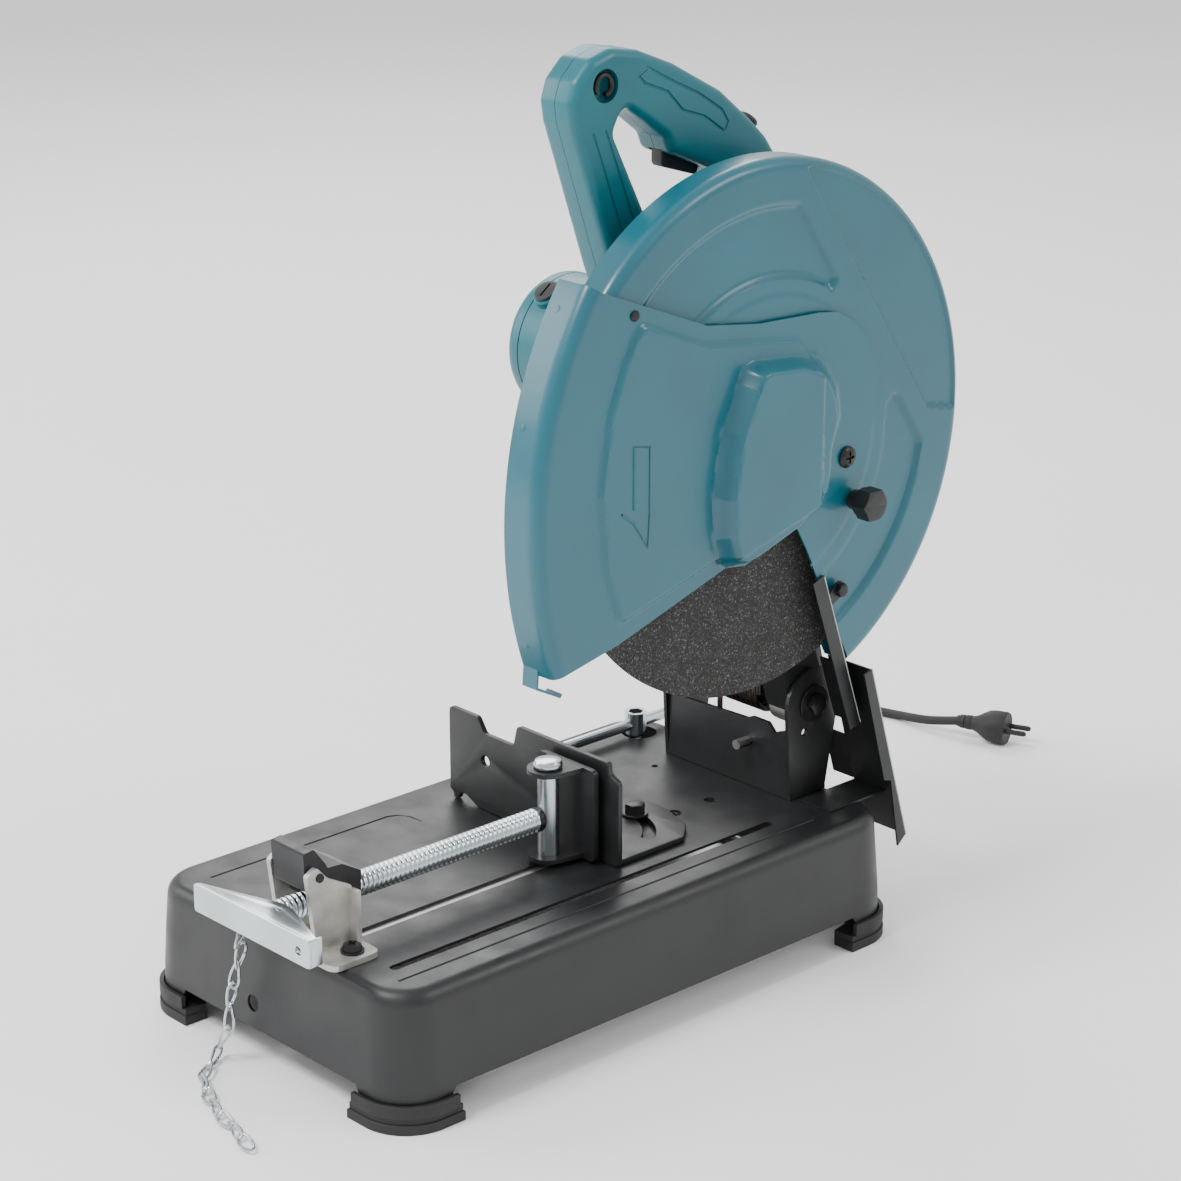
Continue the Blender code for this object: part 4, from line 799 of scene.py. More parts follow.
def safety_guard_face():
    """Face with a raised panel and a domed centre; its front edge turns back as a curved wall."""
    front = arc(SAFETY_PIVOT, SAFETY_RADIUS - SAFETY_BEND, 146.3, 199.2, 110)
    outline = front + [(-0.0675, 0.2645)] + SAFETY_EDGE[::-1]
    panel = rounded(SAFETY_PANEL, 0.01)
    dome = rounded(DOME, 0.012)

    def height_at(points):
        x = np.full(len(points), SAFETY_FACE)
        x += pressed(points, panel, (PANEL_RISE, 0.004))
        # The dome's rear side slopes more gently than its front
        slope = 0.0085 + 0.018 * np.clip((points[:, 0] - 0.135) / 0.045, 0, 1)
        x += pressed(points, dome, (DOME_RISE - PANEL_RISE, slope))
        from_pivot = np.hypot(*(points - np.array(SAFETY_PIVOT)).T)
        flatten = ramp(from_pivot - PIVOT_FLAT, 0.003)
        return x * (1 - flatten) + SAFETY_FACE * flatten

    skirt = bend_rows(SAFETY_RADIUS, SAFETY_FACE, SAFETY_BEND, 0.079)
    skirt += [(SAFETY_RADIUS - 0.0006, SAFETY_BACK), (SAFETY_RADIUS - 0.009, SAFETY_BACK)]

    def on_front(u, v):
        return math.dist((u, v), SAFETY_PIVOT) > SAFETY_RADIUS - SAFETY_BEND - 0.0006

    return pressed_sheet(
        "safety_cover_skin", outline, SAFETY_PIVOT, SAFETY_ROWS, FACE_SPACING, height_at, skirt, on_front,
        SHEET,
    )


def raised_line(points):
    """A pressed line of the arrow on the panel's face."""
    return swept("raised_line", [(SAFETY_FACE + PANEL_RISE, u, v) for u, v in points], 0.0009, 8)


hook_outline = [
    (-0.0744, 0.269), (-0.0757, 0.2529), (-0.0549, 0.242), (-0.053, 0.2443), (-0.0541, 0.2453),
    (-0.0553, 0.244),
    (-0.0742, 0.254), (-0.0728, 0.269),
]
arrow = [(-0.0085, 0.365), (-0.0085, 0.4074), (0.0058, 0.4044), (0.0058, 0.36)]
arrow_tip = [(-0.019, 0.364), (-0.0085, 0.356), (0.004, 0.337), (0.0058, 0.36)]
safety_parts = [
    safety_guard_face(),
    flat("hook", hook_outline, 0.0791, 0.093, "YZ"),
    raised_line(arrow),
    raised_line(arrow_tip),
]
dimple_profile = [(0, 0.0), (0.003, 0.0), (0.0024, 0.0008), (0, 0.001)]
for share in (0.06, 0.36, 0.93):
    turn = math.radians(147.0 + 52.0 * share)
    outward = Vector((0, math.cos(turn), math.sin(turn)))
    spot = Vector((0.088, *SAFETY_PIVOT)) + outward * (SAFETY_RADIUS - 0.0006)
    dimple_frame = Matrix.Translation(spot) @ outward.to_track_quat("Z", "X").to_matrix().to_4x4()
    safety_parts.append(turned("weld_dimple", dimple_profile, steps=20, place=dimple_frame))
place(joined("safety_cover_skin", *safety_parts), "teal_paint", "safety_guard")


# Base
def tray_ring(half_x, half_y, radius, height, leg=None):
    """One level of the tray's wall; the lowest one steps down to a leg at each corner."""
    points = []
    low = height if leg is None else leg
    steps = ((0.014, height), (0.006, low))
    for start, sign_x, sign_y in ((0, 1, 1), (90, -1, 1), (180, -1, -1), (270, 1, -1)):
        corner = arc((sign_x * (half_x - radius), sign_y * (half_y - radius)), radius, start, start + 90, 14)
        sine, cosine = math.sin(math.radians(start)), math.cos(math.radians(start))
        (u, v), (s, t) = corner[0], corner[-1]
        points += [(u + sine * run, v - cosine * run, level) for run, level in steps]
        points += [(a, b, low) for a, b in corner]
        points += [(s - cosine * run, t - sine * run, level) for run, level in steps[::-1]]
    return points


def lofted(name, rings):
    """A skin through the rings, closed at the last one."""
    count = len(rings[0])
    verts = [point for ring in rings for point in ring]
    faces = []
    for row in range(len(rings) - 1):
        for i in range(count):
            j = (i + 1) % count
            faces.append((row * count + i, row * count + j, (row + 1) * count + j, (row + 1) * count + i))
    faces.append(tuple(range((len(rings) - 1) * count, len(rings) * count)))
    mesh = bpy.data.meshes.new(name)
    mesh.from_pydata(verts, [], faces)
    return add(name, facing_out(mesh))


WALL_TOP = 0.0835
BEND_STEPS = 7


def tray_shell():
    """Pressed tray: slightly leaning walls that bend over into a flat top."""
    rings = [
        tray_ring(HALF_X, HALF_Y, CORNER, TRAY_EDGE, LEG_BOTTOM),
        tray_ring(HALF_X - 0.0005, HALF_Y - 0.0005, CORNER, 0.034),
        tray_ring(HALF_X - 0.0022, HALF_Y - 0.0017, 0.0315, 0.06),
        tray_ring(HALF_X - 0.004, HALF_Y - 0.003, 0.031, WALL_TOP),
    ]
    for step in range(1, BEND_STEPS + 1):
        turn = math.pi / 2 * step / BEND_STEPS
        rise, run = math.sin(turn), 1 - math.cos(turn)
        half_x = HALF_X - 0.004 - 0.0104 * run
        half_y = HALF_Y - 0.003 - 0.0084 * run
        height = WALL_TOP + (TRAY_TOP - WALL_TOP) * rise
        rings.append(tray_ring(half_x, half_y, 0.031 - 0.006 * run, height))
    shell = lofted("pressed_tray", rings)
    sheet = shell.modifiers.new("Sheet", "SOLIDIFY")
    sheet.thickness = 0.002
    sheet.offset = -1.0
    return add("pressed_tray", baked(shell))


def hole(low, high, radius, axis, centre, steps=32):
    return rod("hole", radius, low, high, axis, centre, 0.0, steps)


WASHER_HEIGHT = 0.0014


def hex_head(name, centre, across, low, high, plane, washer=0.0):
    """Six-sided head with chamfered corners, and a washer under it where one is given by its radius."""
    axis = {"XY": "Z", "YZ": "X"}[plane]
    head = flat(name, circle(centre, across, 6), low, high, plane)
    dome = [
        (0, low - 0.001), (across * 1.02, low - 0.001), (across * 1.02, high - across * 0.1),
        (across * 0.86, high), (0, high),
    ]
    head = boolean(head, [turned("chamfer", dome, axis, centre, 48)], "INTERSECT")
    if not washer:
        return head
    ring = [
        (0, low - WASHER_HEIGHT), (washer, low - WASHER_HEIGHT), (washer, low - 0.0002),
        (washer - 0.0004, low + 0.0001), (0, low + 0.0001),
    ]
    return joined(name, head, turned("washer", ring, axis, centre, 48))


def bolt(name, nodes, slot, centre, plane, head, shank, washer=0.0):
    """Hexagon bolt: head is (across, low, high), shank is (radius, low, high) along the plane's normal."""
    axis = {"XY": "Z", "YZ": "X"}[plane]
    parts = [hex_head("head", centre, *head, plane, washer), rod("shank", *shank, axis, centre)]
    return place(joined(name, *parts), slot, *nodes)


FENCE_BOLT = (0.018, 0.032)
FENCE_LOCK = (0.0225, 0.0798)
TRAY_CUT = (0.085, 0.105)
GROOVE = 0.0013
tray_cuts = [
    flat("slot", rounded(box_outline((0.088, -0.2), (0.095, 0.147)), 0.0034), *TRAY_CUT),
    flat("slot", rounded(box_outline((0.032, -0.186), (0.0412, -0.011)), 0.0045), *TRAY_CUT),
]
for radius, centre in (
    (0.0055, (0.0323, 0.109)), (0.0045, (0.0328, 0.1446)), (0.0025, (-0.0406, 0.16)),
    (0.0135, (-0.098, 0.1985)), (0.0043, FENCE_BOLT), (0.0041, FENCE_LOCK),
):
    tray_cuts.append(hole(*TRAY_CUT, radius, "Z", centre))
tray_cuts.append(hole(-0.24, -0.22, 0.006, "Y", (-0.016, 0.042)))
for line in (
    [(0.1085, -0.208), (0.1085, 0.175)],
    [(-0.101, -0.2), (-0.101, -0.045), (-0.098, -0.038), (-0.09, -0.0335), (-0.078, -0.033)],
):
    tray_cuts.append(swept("groove", [(u, v, TRAY_TOP + 0.0004) for u, v in line], GROOVE, 10))
tray = boolean(tray_shell(), tray_cuts)
place(tray, "black_paint", "base_tray")


def foot_piece(sx, sy):
    """Moulded corner foot: a wide pad, a waist and a rim that grips the tray's leg."""
    centre = (HALF_X - CORNER, HALF_Y - CORNER)
    inner = [(HALF_X - u, HALF_Y - v) for u, v in ((0.05, 0.014), (0.02, 0.02), (0.014, 0.05))]

    def band(grow, reach):
        corner = arc(centre, CORNER + grow, 0, 90, 20)
        return [(HALF_X + grow, HALF_Y - reach), *corner, (HALF_X - reach, HALF_Y + grow)]

    def mirrored(outline):
        return [(sx * u, sy * v) for u, v in outline]

    rim = mirrored(band(0.0038, 0.046) + band(0.0004, 0.046)[::-1])
    return joined(
        "foot_piece",
        flat("pad", mirrored(band(0.004, 0.05) + inner), 0.0, 0.007, bevel=0.0008),
        flat("waist", mirrored(band(0.0026, 0.049) + inner), 0.0065, LEG_BOTTOM - 0.0003),
        flat("rim", rim, LEG_BOTTOM - 0.001, 0.02, bevel=0.0006),
    )


FEET = (("front_right", 1, -1), ("front_left", -1, -1), ("rear_right", 1, 1), ("rear_left", -1, 1))
for name, sx, sy in FEET:
    piece = foot_piece(sx, sy)
    piece.name = "corner_" + name
    place(piece, "rubber", "foot_" + name)


# Vise
def thread(name, low, high, minor, major, pitch, centre, steps=36, per_turn=10):
    """A rod along Y with a helical thread of flat crests and roots."""
    x, z = centre
    rows = round((high - low) / pitch * per_turn)
    verts, faces = [(x, low, z)], []
    for row in range(rows + 1):
        y = low + (high - low) * row / rows
        near_end = min(y - low, high - y) < 0.0012
        for k in range(steps):
            phase = ((y - low) / pitch - k / steps) % 1.0
            # A triangle wave, steepened and cut off into flat crests and roots
            height = min(max((0.5 - abs(phase - 0.5)) * 4.2 - 0.45, 0.0), 1.0)
            radius = minor if near_end else minor + (major - minor) * height
            angle = 2 * math.pi * k / steps
            verts.append((x + radius * math.cos(angle), y, z + radius * math.sin(angle)))
    for row in range(rows):
        for k in range(steps):
            a, b = 1 + row * steps + k, 1 + row * steps + (k + 1) % steps
            faces.append((a, b, b + steps, a + steps))
    faces += [(0, 1 + k, 1 + (k + 1) % steps) for k in range(steps)]
    end = len(verts)
    verts.append((x, high, z))
    faces += [(end, end - steps + k, end - steps + (k + 1) % steps) for k in range(steps)]
    mesh = bpy.data.meshes.new(name)
    mesh.from_pydata(verts, [], faces)
    return add(name, facing_out(mesh))


screw = joined(
    "vise_thread",
    thread("thread", -0.2435, -0.0225, 0.0071, 0.0085, 0.004, SCREW_AXIS),
    rod("nose", 0.00445, -0.0235, -0.0165, "Y", SCREW_AXIS, 0.0004),
    rod("shank", 0.0058, -0.2642, -0.2425, "Y", SCREW_AXIS, 0.0004),
)
place(screw, "zinc", "vise_screw")

post_profile = [
    (0, 0.0965), (0.0068, 0.0965), (0.0075, 0.0972), (0.0075, 0.1645), (0.008, 0.1652), (0.0098, 0.1654),
    (0.0101, 0.1666), (0.0099, 0.1682), (0.0088, 0.1699), (0.006, 0.1707), (0, 0.171),
]
place(turned("trunnion_post", post_profile, "Z", TRUNNION), "zinc", "trunnion_pin")
collar_profile = [
    (0.0046, -0.0238), (0.0078, -0.0238), (0.0086, -0.0228), (0.0086, -0.0205), (0.0046, -0.0205),
]
extra(turned("screw_collar", collar_profile, "Y", SCREW_AXIS), "black_steel", "vise_carriage")


def cross_recess(centre, low, high, reach, width, plane="XY"):
    """Two crossed bars that cut the drive into a screw's head."""
    u, v = centre
    bars = []
    for du, dv in ((reach, width), (width, reach)):
        corners = [(u - du, v - dv, low), (u + du, v + dv, high)]
        if plane == "YZ":
            corners = [(level, across, up) for across, up, level in corners]
        bars.append(block("cross", *corners, 0.0001))
    return bars


BRACKET_SEAT = TRAY_TOP + 0.0046
bracket_screw_profile = [
    (0, -0.004), (0.003, -0.004), (0.003, 0.0), (0.0078, 0.0), (0.0079, 0.001), (0.0066, 0.0012),
    (0.0066, 0.003), (0.0058, 0.0046), (0.004, 0.0055), (0, 0.0057),
]
bracket_screw_profile = [(radius, BRACKET_SEAT + height) for radius, height in bracket_screw_profile]
for side, x in (("right", 0.0615), ("left", -0.0085)):
    centre = (x, -0.2072)
    head = turned("bracket_bolt_" + side, bracket_screw_profile, "Z", centre, 40)
    cross = cross_recess(centre, BRACKET_SEAT + 0.003, BRACKET_SEAT + 0.008, 0.0034, 0.0007)
    place(boolean(head, cross), "black_steel", "vise_bracket_screw_" + side)

bolt(
    "fence_bolt", ["guide_pivot_bolt"], "black_steel", FENCE_BOLT, "XY",
    (0.0068, 0.1001, 0.106), (0.004, 0.085, 0.1005),
)
bolt(
    "fence_lock_bolt", ["guide_clamp_bolt"], "black_steel", FENCE_LOCK, "XY",
    (0.0072, 0.1011, 0.108), (0.0038, 0.085, 0.1), 0.0095,
)


# Carrying chain: wire links from the crank to the floor
CHAIN = [
    (-0.0145, -0.219, 0.104), (-0.011, -0.231, 0.1035), (-0.007, -0.2435, 0.1), (-0.009, -0.244, 0.085),
    (-0.016, -0.2445, 0.065), (-0.021, -0.245, 0.046), (-0.024, -0.2455, 0.027), (-0.032, -0.249, 0.0075),
    (-0.018, -0.27, 0.0032), (0.003, -0.284, 0.0032), (0.03, -0.295, 0.0032), (0.055, -0.301, 0.0032),
    (0.078, -0.3075, 0.0032),
]


WIRE = 0.00105
LINK_LENGTH, LINK_WIDTH, LINK_STEP = 0.0215, 0.0078, 0.0172
LYING_BELOW = 0.004
LINK_REST = 0.0034


def chain_link(centre, along, turn):
    """Slightly twisted wire loop, its plane turned about the chain's line."""
    frame_of = along.to_track_quat("Y", "Z").to_matrix().to_4x4() @ Matrix.Rotation(turn, 4, "Y")
    points = []
    for step in range(28):
        angle = 2 * math.pi * step / 28
        across = LINK_WIDTH / 2 * math.cos(angle)
        twist = LINK_WIDTH * 0.12 * math.sin(2 * angle)
        points.append(centre + frame_of @ Vector((across, LINK_LENGTH / 2 * math.sin(angle), twist)))
    return swept("link", points, WIRE, 8, cyclic=True)


def chain_links():
    """Links along the chain's line, each a quarter turn from the last, or a little less on the floor."""
    line = smooth_path(CHAIN, 0.001)
    links = []
    travelled, due = 0.0, LINK_STEP / 2
    for a, b in zip(line, line[1:]):
        travelled += (b - a).length
        if travelled < due:
            continue
        tilt, share = (0.35, 0.62) if b.z < LYING_BELOW else (0.0, 1.0)
        turn = tilt + (len(links) % 2) * math.pi / 2 * share
        links.append(chain_link(Vector((b.x, b.y, max(b.z, LINK_REST))), (b - a).normalized(), turn))
        due += LINK_STEP
    return links


chain = joined("wire_chain", *chain_links())
for vertex in chain.data.vertices:
    vertex.co.z = max(vertex.co.z, 0.0002)
place(chain, "zinc", "carry_chain")


# Pivot
SPRING_START, SPRING_PITCH, SPRING_TURNS = -0.004, 0.0049, 8
SPRING_RADIUS, SPRING_STEPS = 0.016, 32
pivot_y, pivot_z = HEAD_PIVOT
spring = [(SPRING_START, 0.1905, pivot_z - 0.034), (SPRING_START, 0.1905, pivot_z - 0.012)]
for step in range(SPRING_TURNS * SPRING_STEPS + 1):
    angle = math.pi + 2 * math.pi * step / SPRING_STEPS
    x = SPRING_START + SPRING_PITCH * step / SPRING_STEPS
    spring.append((x, pivot_y + SPRING_RADIUS * math.cos(angle), pivot_z + SPRING_RADIUS * math.sin(angle)))
spring.append((SPRING_START + SPRING_PITCH * SPRING_TURNS, pivot_y - SPRING_RADIUS, pivot_z + 0.02))
place(swept("return_spring", spring, 0.0021, 12), "steel", "torsion_spring", finish="spring_steel")
extra(rod("pivot_boss", 0.0192, 0.0475, 0.069, "X", HEAD_PIVOT), "cast_aluminium", "head")
bolt(
    "pivot_lock_bolt", ["pivot_bolt"], "black_steel", HEAD_PIVOT, "YZ",
    (0.008, 0.0752, 0.08), (0.004, 0.056, 0.075), 0.014,
)

# Guard screws and the clamp knob
screw_profile = [
    (0, 0.1), (0.0028, 0.1), (0.0028, 0.1063), (0.0045, 0.1063), (0.0045, 0.1104), (0.0075, 0.1104),
    (0.0077, 0.1112), (0.007, 0.1124), (0.005, 0.1134), (0, 0.1138),
]
pivot_head = turned("cover_screw", screw_profile, "X", SAFETY_PIVOT)
cross = cross_recess(SAFETY_PIVOT, 0.1118, 0.115, 0.0042, 0.0009, "YZ")
place(boolean(pivot_head, cross), "black_steel", "guard_pivot_screw")
rim_profile = [(0, 0.109), (0.0036, 0.109), (0.0036, 0.1108), (0.0026, 0.112), (0, 0.1122)]
extra(turned("cover_edge_screw", rim_profile, "X", (-0.006, 0.4925), 32), "black_steel", "safety_cover")
bolt(
    "spark_bolt", ["spark_guard_bolt"], "black_steel", (0.194, 0.2626), "YZ",
    (0.005, 0.1085, 0.112), (0.0022, 0.103, 0.1088),
)
collar_profile = [
    (0, 0.109), (0.0066, 0.109), (0.007, 0.1094), (0.0074, 0.116), (0.0104, 0.118), (0.0104, 0.1195),
    (0, 0.1195),
]
knob = joined(
    "clamp_grip",
    hex_head("grip", KNOB, 0.012, 0.119, 0.131, "YZ"),
    turned("collar", collar_profile, "X", KNOB),
    rod("shank", 0.003, 0.0965, 0.1095, "X", KNOB),
)
place(knob, "black_plastic", "clamp_knob")

# Wheel and flanges
WHEEL_BORE = 0.0127
wheel_profile = [(WHEEL_BORE, -0.0015), (WHEEL_RADIUS - 0.0003, -0.0015), (WHEEL_RADIUS, -0.001)]
wheel_profile += [(radius, -height) for radius, height in wheel_profile[::-1]]
wheel_profile = [(radius, WHEEL_X + height) for radius, height in wheel_profile]
place(turned("cutting_disc", wheel_profile, "X", SPINDLE, 160), "abrasive", "abrasive_wheel")
flange_profile = [(0.0055, 0.0923), (0.038, 0.0923), (0.038, 0.0948), (0.035, 0.0972), (0.0055, 0.0972)]
place(turned("clamp_flange", flange_profile, "X", SPINDLE, 96), "steel", "outer_flange")
bolt("flange_bolt", ["wheel_bolt"], "steel", SPINDLE, "YZ", (0.0095, 0.0977, 0.1028), (0.005, 0.069, 0.0985))

# Motor
motor_profile = [(0.0465, -0.09), (0.0495, -0.09), (0.05, -0.0894)]
for rib in range(5):
    at = -0.06 + rib * 0.016
    motor_profile += [(0.05, at), (0.049, at + 0.001), (0.049, at + 0.003), (0.05, at + 0.004)]
motor_profile += [(0.05, 0.0392), (0.0495, 0.0397), (0.0465, 0.0397)]


def brush_frame(sign):
    """A brush's place in the motor: its local +Z points out of the case."""
    direction = Vector((0, -0.598 * sign, 0.801 * sign))
    turn = direction.to_track_quat("Z", "X").to_matrix().to_4x4()
    return Matrix.Translation((-0.078, *MOTOR)) @ turn


boss_profile = [(0.008, 0.047), (0.0105, 0.047), (0.0108, 0.0535), (0.01, 0.0545), (0.008, 0.0545)]
motor_parts = [turned("motor_shell", motor_profile, "X", MOTOR, 96)]
for sign in (1, -1):
    motor_parts.append(turned("brush_boss", boss_profile, steps=40, place=brush_frame(sign)))
place(joined("motor_case", *motor_parts), "teal_plastic", "motor_housing")
brush_profile = [
    (0, 0.033), (0.0077, 0.033), (0.0077, 0.0548), (0.0088, 0.0549), (0.009, 0.0555), (0.0086, 0.0568),
    (0.007, 0.0572), (0, 0.0572),
]
for side, sign in (("front", 1), ("rear", -1)):
    cap = turned("brush_cover_" + side, brush_profile, steps=40, place=brush_frame(sign))
    groove = block("groove", (-0.006, -0.0009, 0.0556), (0.006, 0.0009, 0.059), 0.0002)
    groove.data.transform(brush_frame(sign))
    place(boolean(cap, [groove]), "black_plastic", "brush_cap_" + side)
cover_profile = [
    (0, -0.104), (0.04, -0.104), (0.044, -0.1034), (0.0475, -0.1015), (0.0495, -0.0985), (0.05, -0.0955),
    (0.05, -0.0903), (0.0465, -0.0903), (0.0465, -0.096), (0, -0.096),
]
motor_y, motor_z = MOTOR
vents = []
for offset in (-0.024, -0.012, 0.0, 0.012, 0.024):
    y = motor_y + offset
    for z in (motor_z + 0.01, motor_z - 0.03):
        vents.append(block("vent", (-0.11, y - 0.002, z), (-0.09, y + 0.002, z + 0.02), 0.0009))
vents.append(hole(-0.102, -0.09, 0.00405, "X", MOTOR))
place(boolean(turned("motor_cap", cover_profile, "X", MOTOR, 96), vents), "teal_plastic", "motor_end_cover")
cap_screw_profile = [
    (0, -0.103), (0.0032, -0.103), (0.0032, -0.1046), (0.0022, -0.1056), (0.0012, -0.105), (0, -0.105),
]
for turn, spot in zip((45, 135, 225, 315), circle(MOTOR, 0.0385, 4, math.radians(45))):
    extra(turned(f"cap_screw_{turn}", cap_screw_profile, "X", spot, 24), "black_steel", "head")

# Handle
HANDLE_OUTLINE = [
    (0.075, 0.43), (0.165, 0.43), (0.178, 0.47), (0.19, 0.52), (0.1885, 0.545), (0.184, 0.56), (0.173, 0.575),
    (0.159, 0.588), (0.13, 0.611), (0.086, 0.634), (0.055, 0.646), (0.03, 0.65), (0.012, 0.6445),
    (-0.001, 0.632),
    (-0.006, 0.618), (-0.004, 0.604), (0.031, 0.504), (0.053, 0.45),
]
HANDLE_OPENING = [
    (0.065, 0.531), (0.032, 0.595), (0.041, 0.612), (0.06, 0.6), (0.0785, 0.586), (0.083, 0.5755),
    (0.12, 0.56),
    (0.14, 0.545), (0.15, 0.52), (0.14, 0.492), (0.115, 0.482), (0.09, 0.488), (0.075, 0.505),
]


HANDLE_HALF = 0.017
GRIP_LINES = (
    [(0.06, 0.6345), (0.084, 0.6225), (0.106, 0.6125), (0.128, 0.599)],
    [(0.058, 0.6245), (0.078, 0.617), (0.092, 0.603), (0.112, 0.5965), (0.13, 0.5845)],
    [(0.052, 0.63), (0.06, 0.6345)],
    [(0.052, 0.63), (0.058, 0.6245)],
    [(0.128, 0.599), (0.134, 0.59), (0.13, 0.5845)],
    [(0.012, 0.598), (0.042, 0.52), (0.064, 0.47)],
    [(0.023, 0.5985), (0.052, 0.527), (0.074, 0.486)],
)
POCKET_OUTLINE = [
    (0.08, 0.602), (0.092, 0.622), (0.135, 0.6), (0.164, 0.577), (0.157, 0.56), (0.122, 0.572),
]
TRIGGER_WAY = [(0.0828, 0.55), (0.1205, 0.545), (0.1205, 0.59), (0.1, 0.602), (0.0828, 0.598)]
HOOK_CENTRE = (0.023, 0.627)


def button_frame():
    """The lock-off button's place: its local +Z points out of the handle."""
    turn = Vector((0, 0.68, 0.73)).to_track_quat("Z", "X").to_matrix().to_4x4()
    return Matrix.Translation((SEAM, 0.1595, 0.5745)) @ turn


def handle_shell(name, low, high, side):
    """Half of the handle, with its rounded outside, the seats and pockets inside it, and a grip pattern."""
    opening = rounded(HANDLE_OPENING, 0.008)
    body = flat(
        name, rounded(HANDLE_OUTLINE, 0.012), SEAM - HANDLE_HALF, SEAM + HANDLE_HALF, "YZ",
        holes=[opening], bevel=0.0065, steps=5,
    )
    button_profile = [(0, -0.01), (0.0056, -0.01), (0.0056, 0.02), (0, 0.02)]
    cutters = [
        block("other_side", (low, -0.05, 0.4), (high, 0.25, 0.7)),
        hole(-0.02, 0.04, 0.0503, "X", MOTOR, 96),
        flat("case_seat", hull((*SPINDLE, 0.0423), (*MOTOR, 0.0533)), 0.0395, 0.07, "YZ"),
        flat("pocket", POCKET_OUTLINE, SEAM - 0.01, SEAM + 0.01, "YZ"),
        flat("trigger_slot", TRIGGER_WAY, SEAM - 0.0062, SEAM + 0.0062, "YZ"),
        turned("button_way", button_profile, steps=40, place=button_frame()),
    ]
    outside = SEAM + side * HANDLE_HALF
    for line in GRIP_LINES:
        cutters.append(swept("groove", [(outside, u, v) for u, v in line], 0.001, 8))
    if side > 0:
        cutters.append(hole(SEAM + 0.01, 0.06, 0.011, "X", HOOK_CENTRE))
    return boolean(body, cutters)


place(handle_shell("grip_left", SEAM - 0.0002, 0.08, -1), "teal_plastic", "handle_left")
place(handle_shell("grip_right", -0.02, SEAM + 0.0002, 1), "teal_plastic", "handle_right")

trigger_outline = [
    (0.0845, 0.565), (0.1165, 0.555), (0.119, 0.562), (0.119, 0.5855), (0.1, 0.593), (0.088, 0.59),
    (0.0845, 0.576),
]
trigger_outline = rounded(trigger_outline, 0.004)
trigger = flat("finger_trigger", trigger_outline, SEAM - 0.0055, SEAM + 0.0055, "YZ", bevel=0.0012)
place(trigger, "black_plastic", "trigger")
button_profile = [
    (0, -0.003), (0.0055, -0.003), (0.0055, 0.012), (0.0072, 0.0122), (0.0076, 0.0128), (0.0076, 0.0146),
    (0.007, 0.0156), (0.0055, 0.0162), (0, 0.0158),
]
thumb_button = turned("thumb_button", button_profile, steps=40, place=button_frame())
place(thumb_button, "black_plastic", "lock_off_button")
lock_profile = [
    (0, 0.0635), (0.0064, 0.0635), (0.0072, 0.0642), (0.0075, 0.0652), (0.0075, 0.07), (0.007, 0.0705),
    (0.005, 0.0705), (0.005, 0.093), (0, 0.093),
]
spindle_lock = turned("spindle_lock", lock_profile, "Y", (0.068, SPINDLE[1]), 40)
place(spindle_lock, "black_plastic", "shaft_lock_button")
hook_arc = arc(HOOK_CENTRE, 0.0068, -60, 220, 28)
hook_bar = [(0.0475, *hook_arc[0])] + [(0.05, u, v) for u, v in hook_arc]
place(swept("hook_ring", hook_bar, 0.0018, 12), "zinc", "chain_hook", finish="black_steel")

# Crank, fence, and dark panels behind the wheel that carry painted shade
crank_strip = rounded(box_outline((-0.026, 0.117), (0.094, 0.1365)), 0.0025)
crank_web = [
    (-0.024, -0.266), (0.0935, -0.266), (0.0935, -0.26), (0.049, -0.244), (0.036, -0.244),
    (-0.024, -0.2635),
]
strip_hole = circle((0.083, 0.1262), 0.003, 28)
web_hole = circle((0.043, -0.2515), 0.0022, 24)
crank = joined(
    "crank_plate",
    flat("strip", crank_strip, -0.267, -0.2645, "XZ", holes=[strip_hole], bevel=0.0004),
    flat("web", crank_web, 0.1342, 0.1364, holes=[web_hole], bevel=0.0004),
    block("end", (0.0915, -0.2665, 0.1172), (0.0938, -0.256, 0.136)),
)
place(crank, "zinc", "crank_handle")
low = TRAY_TOP + 0.0003
fence_outline = [
    (-0.096, low + 0.004), (-0.096, low), (-0.091, low), (-0.088, low + 0.006), (-0.082, low + 0.006),
    (-0.07, low), (0.077, low), (0.077, 0.158), (0.067, 0.162), (0.067, 0.17), (-0.027, 0.17),
    (-0.031, 0.154), (-0.0615, 0.154), (-0.069, 0.165), (-0.1, 0.165), (-0.1, low + 0.006),
]
fence_flange = [
    (-0.06, 0.0135), (0.074, 0.0135), (0.074, 0.078), (0.06, 0.094), (0.03, 0.104), (-0.002, 0.104),
    (-0.045, 0.06),
]
fence_hole = circle((-0.061, 0.133), 0.0042, 32)
swivel_slot = arc(FENCE_BOLT, 0.0525, 32, 92, 24) + arc(FENCE_BOLT, 0.0435, 92, 32, 24)
swivel_holes = [swivel_slot, circle(FENCE_BOLT, 0.0041, 32)]
fence = joined(
    "fence_plate",
    flat("face", rounded(fence_outline, 0.0045), 0.0125, 0.0165, "XZ", holes=[fence_hole], bevel=0.0007),
    flat("flange", rounded(fence_flange, 0.006), low, low + 0.004, holes=swivel_holes, bevel=0.0006),
)
place(fence, "black_paint", "guide_plate")
# Dark sheet behind the wheel that stands in for the shade there, finished in painted shade
inner_panel = [
    (0.15, 0.315), (0.178, 0.277), (0.205, 0.206), (0.211, 0.188), (0.196, 0.198), (0.17, 0.206),
    (0.135, 0.25),
]
inner_plate = flat("painted_shade_panel", rounded(inner_panel, 0.004), 0.0752, 0.0764, "YZ")
extra(inner_plate, "black_paint", "head", finish="painted_shade_black")
# The spark guard's wing, finished in painted shade rather than its black paint
wing = [(0.2365, 0.135), (0.248, 0.0975), (0.2468, 0.0975), (0.2353, 0.135)]
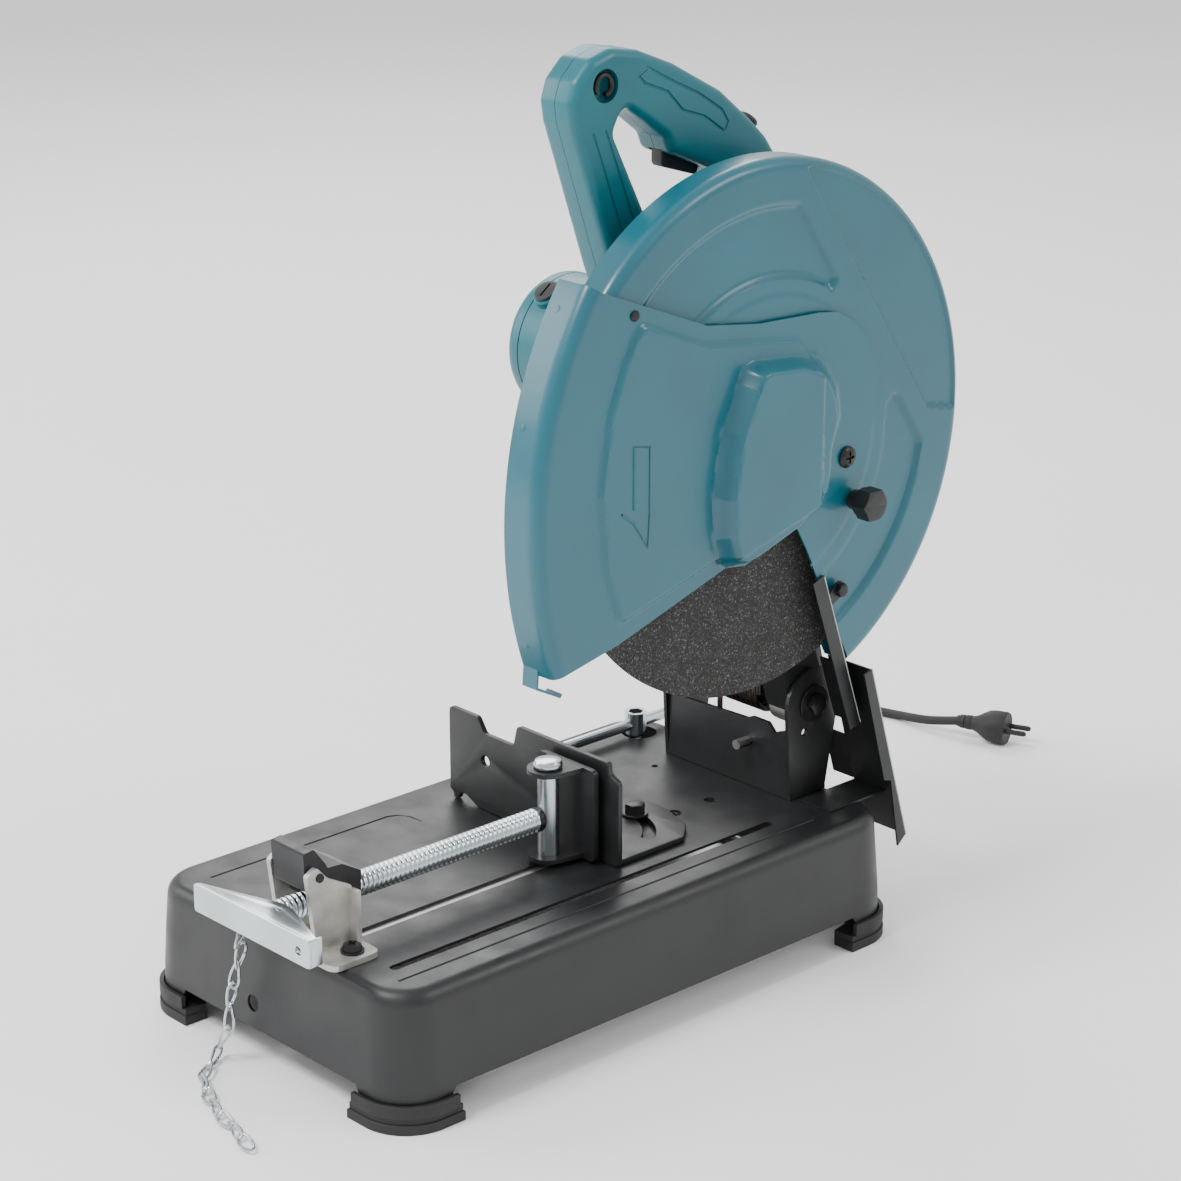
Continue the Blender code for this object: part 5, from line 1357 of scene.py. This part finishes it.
extra(flat("spark_guard_wing", wing, 0.058, 0.0784, "YZ"), "black_paint", "base", finish="painted_shade_black")

# Painted highlights: light strips laid along the spark guards' lit folded edges
for name, body, points, x in (
    ("upper_edge", "head", [(0.1783, 0.2755), (0.2195, 0.157)], 0.1081),
    ("lower_edge", "base", [(0.2165, 0.201), (0.258, 0.064)], 0.1206),
):
    strip = [(x - 0.0006, u, v) for u, v in resampled(points, 0.02, closed=False)]
    extra(swept(name, strip, 0.0007, 8), "steel", body, finish="painted_highlight_edge")


# CAD nodes that stay: each gets its finish on its own mesh
for finish, nodes in (
    ("black_paint", ("pivot_bracket", "gear_housing", "vise_jaw", "upper_spark_guard", "lower_spark_guard")),
    ("black_steel", ("half_nut",)),
    ("black_plastic", ("switch_body", "cooling_fan")),
    ("zinc", ("wrench",)),
    ("cast_aluminium", ("vise_bracket", "guide_rail")),
    ("steel", ("pivot_shaft", "stop_pin", "spindle", "inner_flange", "drive_gear")),
    ("steel", ("spindle_bearing", "stator")),
    ("winding", ("armature",)),
    ("carbon", ("carbon_brush_front", "carbon_brush_rear")),
):
    for node in nodes:
        for slot in frame["nodes"][node].material_slots:
            slot.material = FINISHES[finish]


# Studio: pale floor and soft lights
floor_mesh = bpy.data.meshes.new("studio_floor")
floor_mesh.from_pydata([(-9, -9, 0), (9, -9, 0), (9, 9, 0), (-9, 9, 0)], [], [(0, 1, 2, 3)])
floor = add("studio_floor", floor_mesh)
WHITE_DARK, WHITE_LIGHT = (0.93, 0.93, 0.93), (0.95, 0.95, 0.95)
floor.data.materials.append(finish_of("studio_white", WHITE_DARK, WHITE_LIGHT, 0.9, patch=2, grain=50))

world = bpy.data.worlds.new("studio")
world.use_nodes = True
background = world.node_tree.nodes["Background"].inputs
background["Color"].default_value = (1.0, 1.0, 1.0, 1.0)
background["Strength"].default_value = 1.0
bpy.context.scene.world = world

LIGHTS = [
    ("key", (-0.3, -1.9, 2.9), 1.0, 95.0),
    ("side", (2.2, 1.6, 2.2), 1.2, 26.0),
    ("back", (-2.2, 1.6, 2.2), 1.6, 40.0),
    ("left", (-2.2, -1.4, 1.3), 1.4, 30.0),
]
for name, spot, size, power in LIGHTS:
    lamp = bpy.data.objects.new(name, bpy.data.lights.new(name, "AREA"))
    lamp.data.size = size
    lamp.data.energy = power
    lamp.location = spot
    lamp.rotation_euler = (Vector((0.0, 0.0, 0.3)) - lamp.location).to_track_quat("-Z", "Y").to_euler()
    bpy.context.scene.collection.objects.link(lamp)
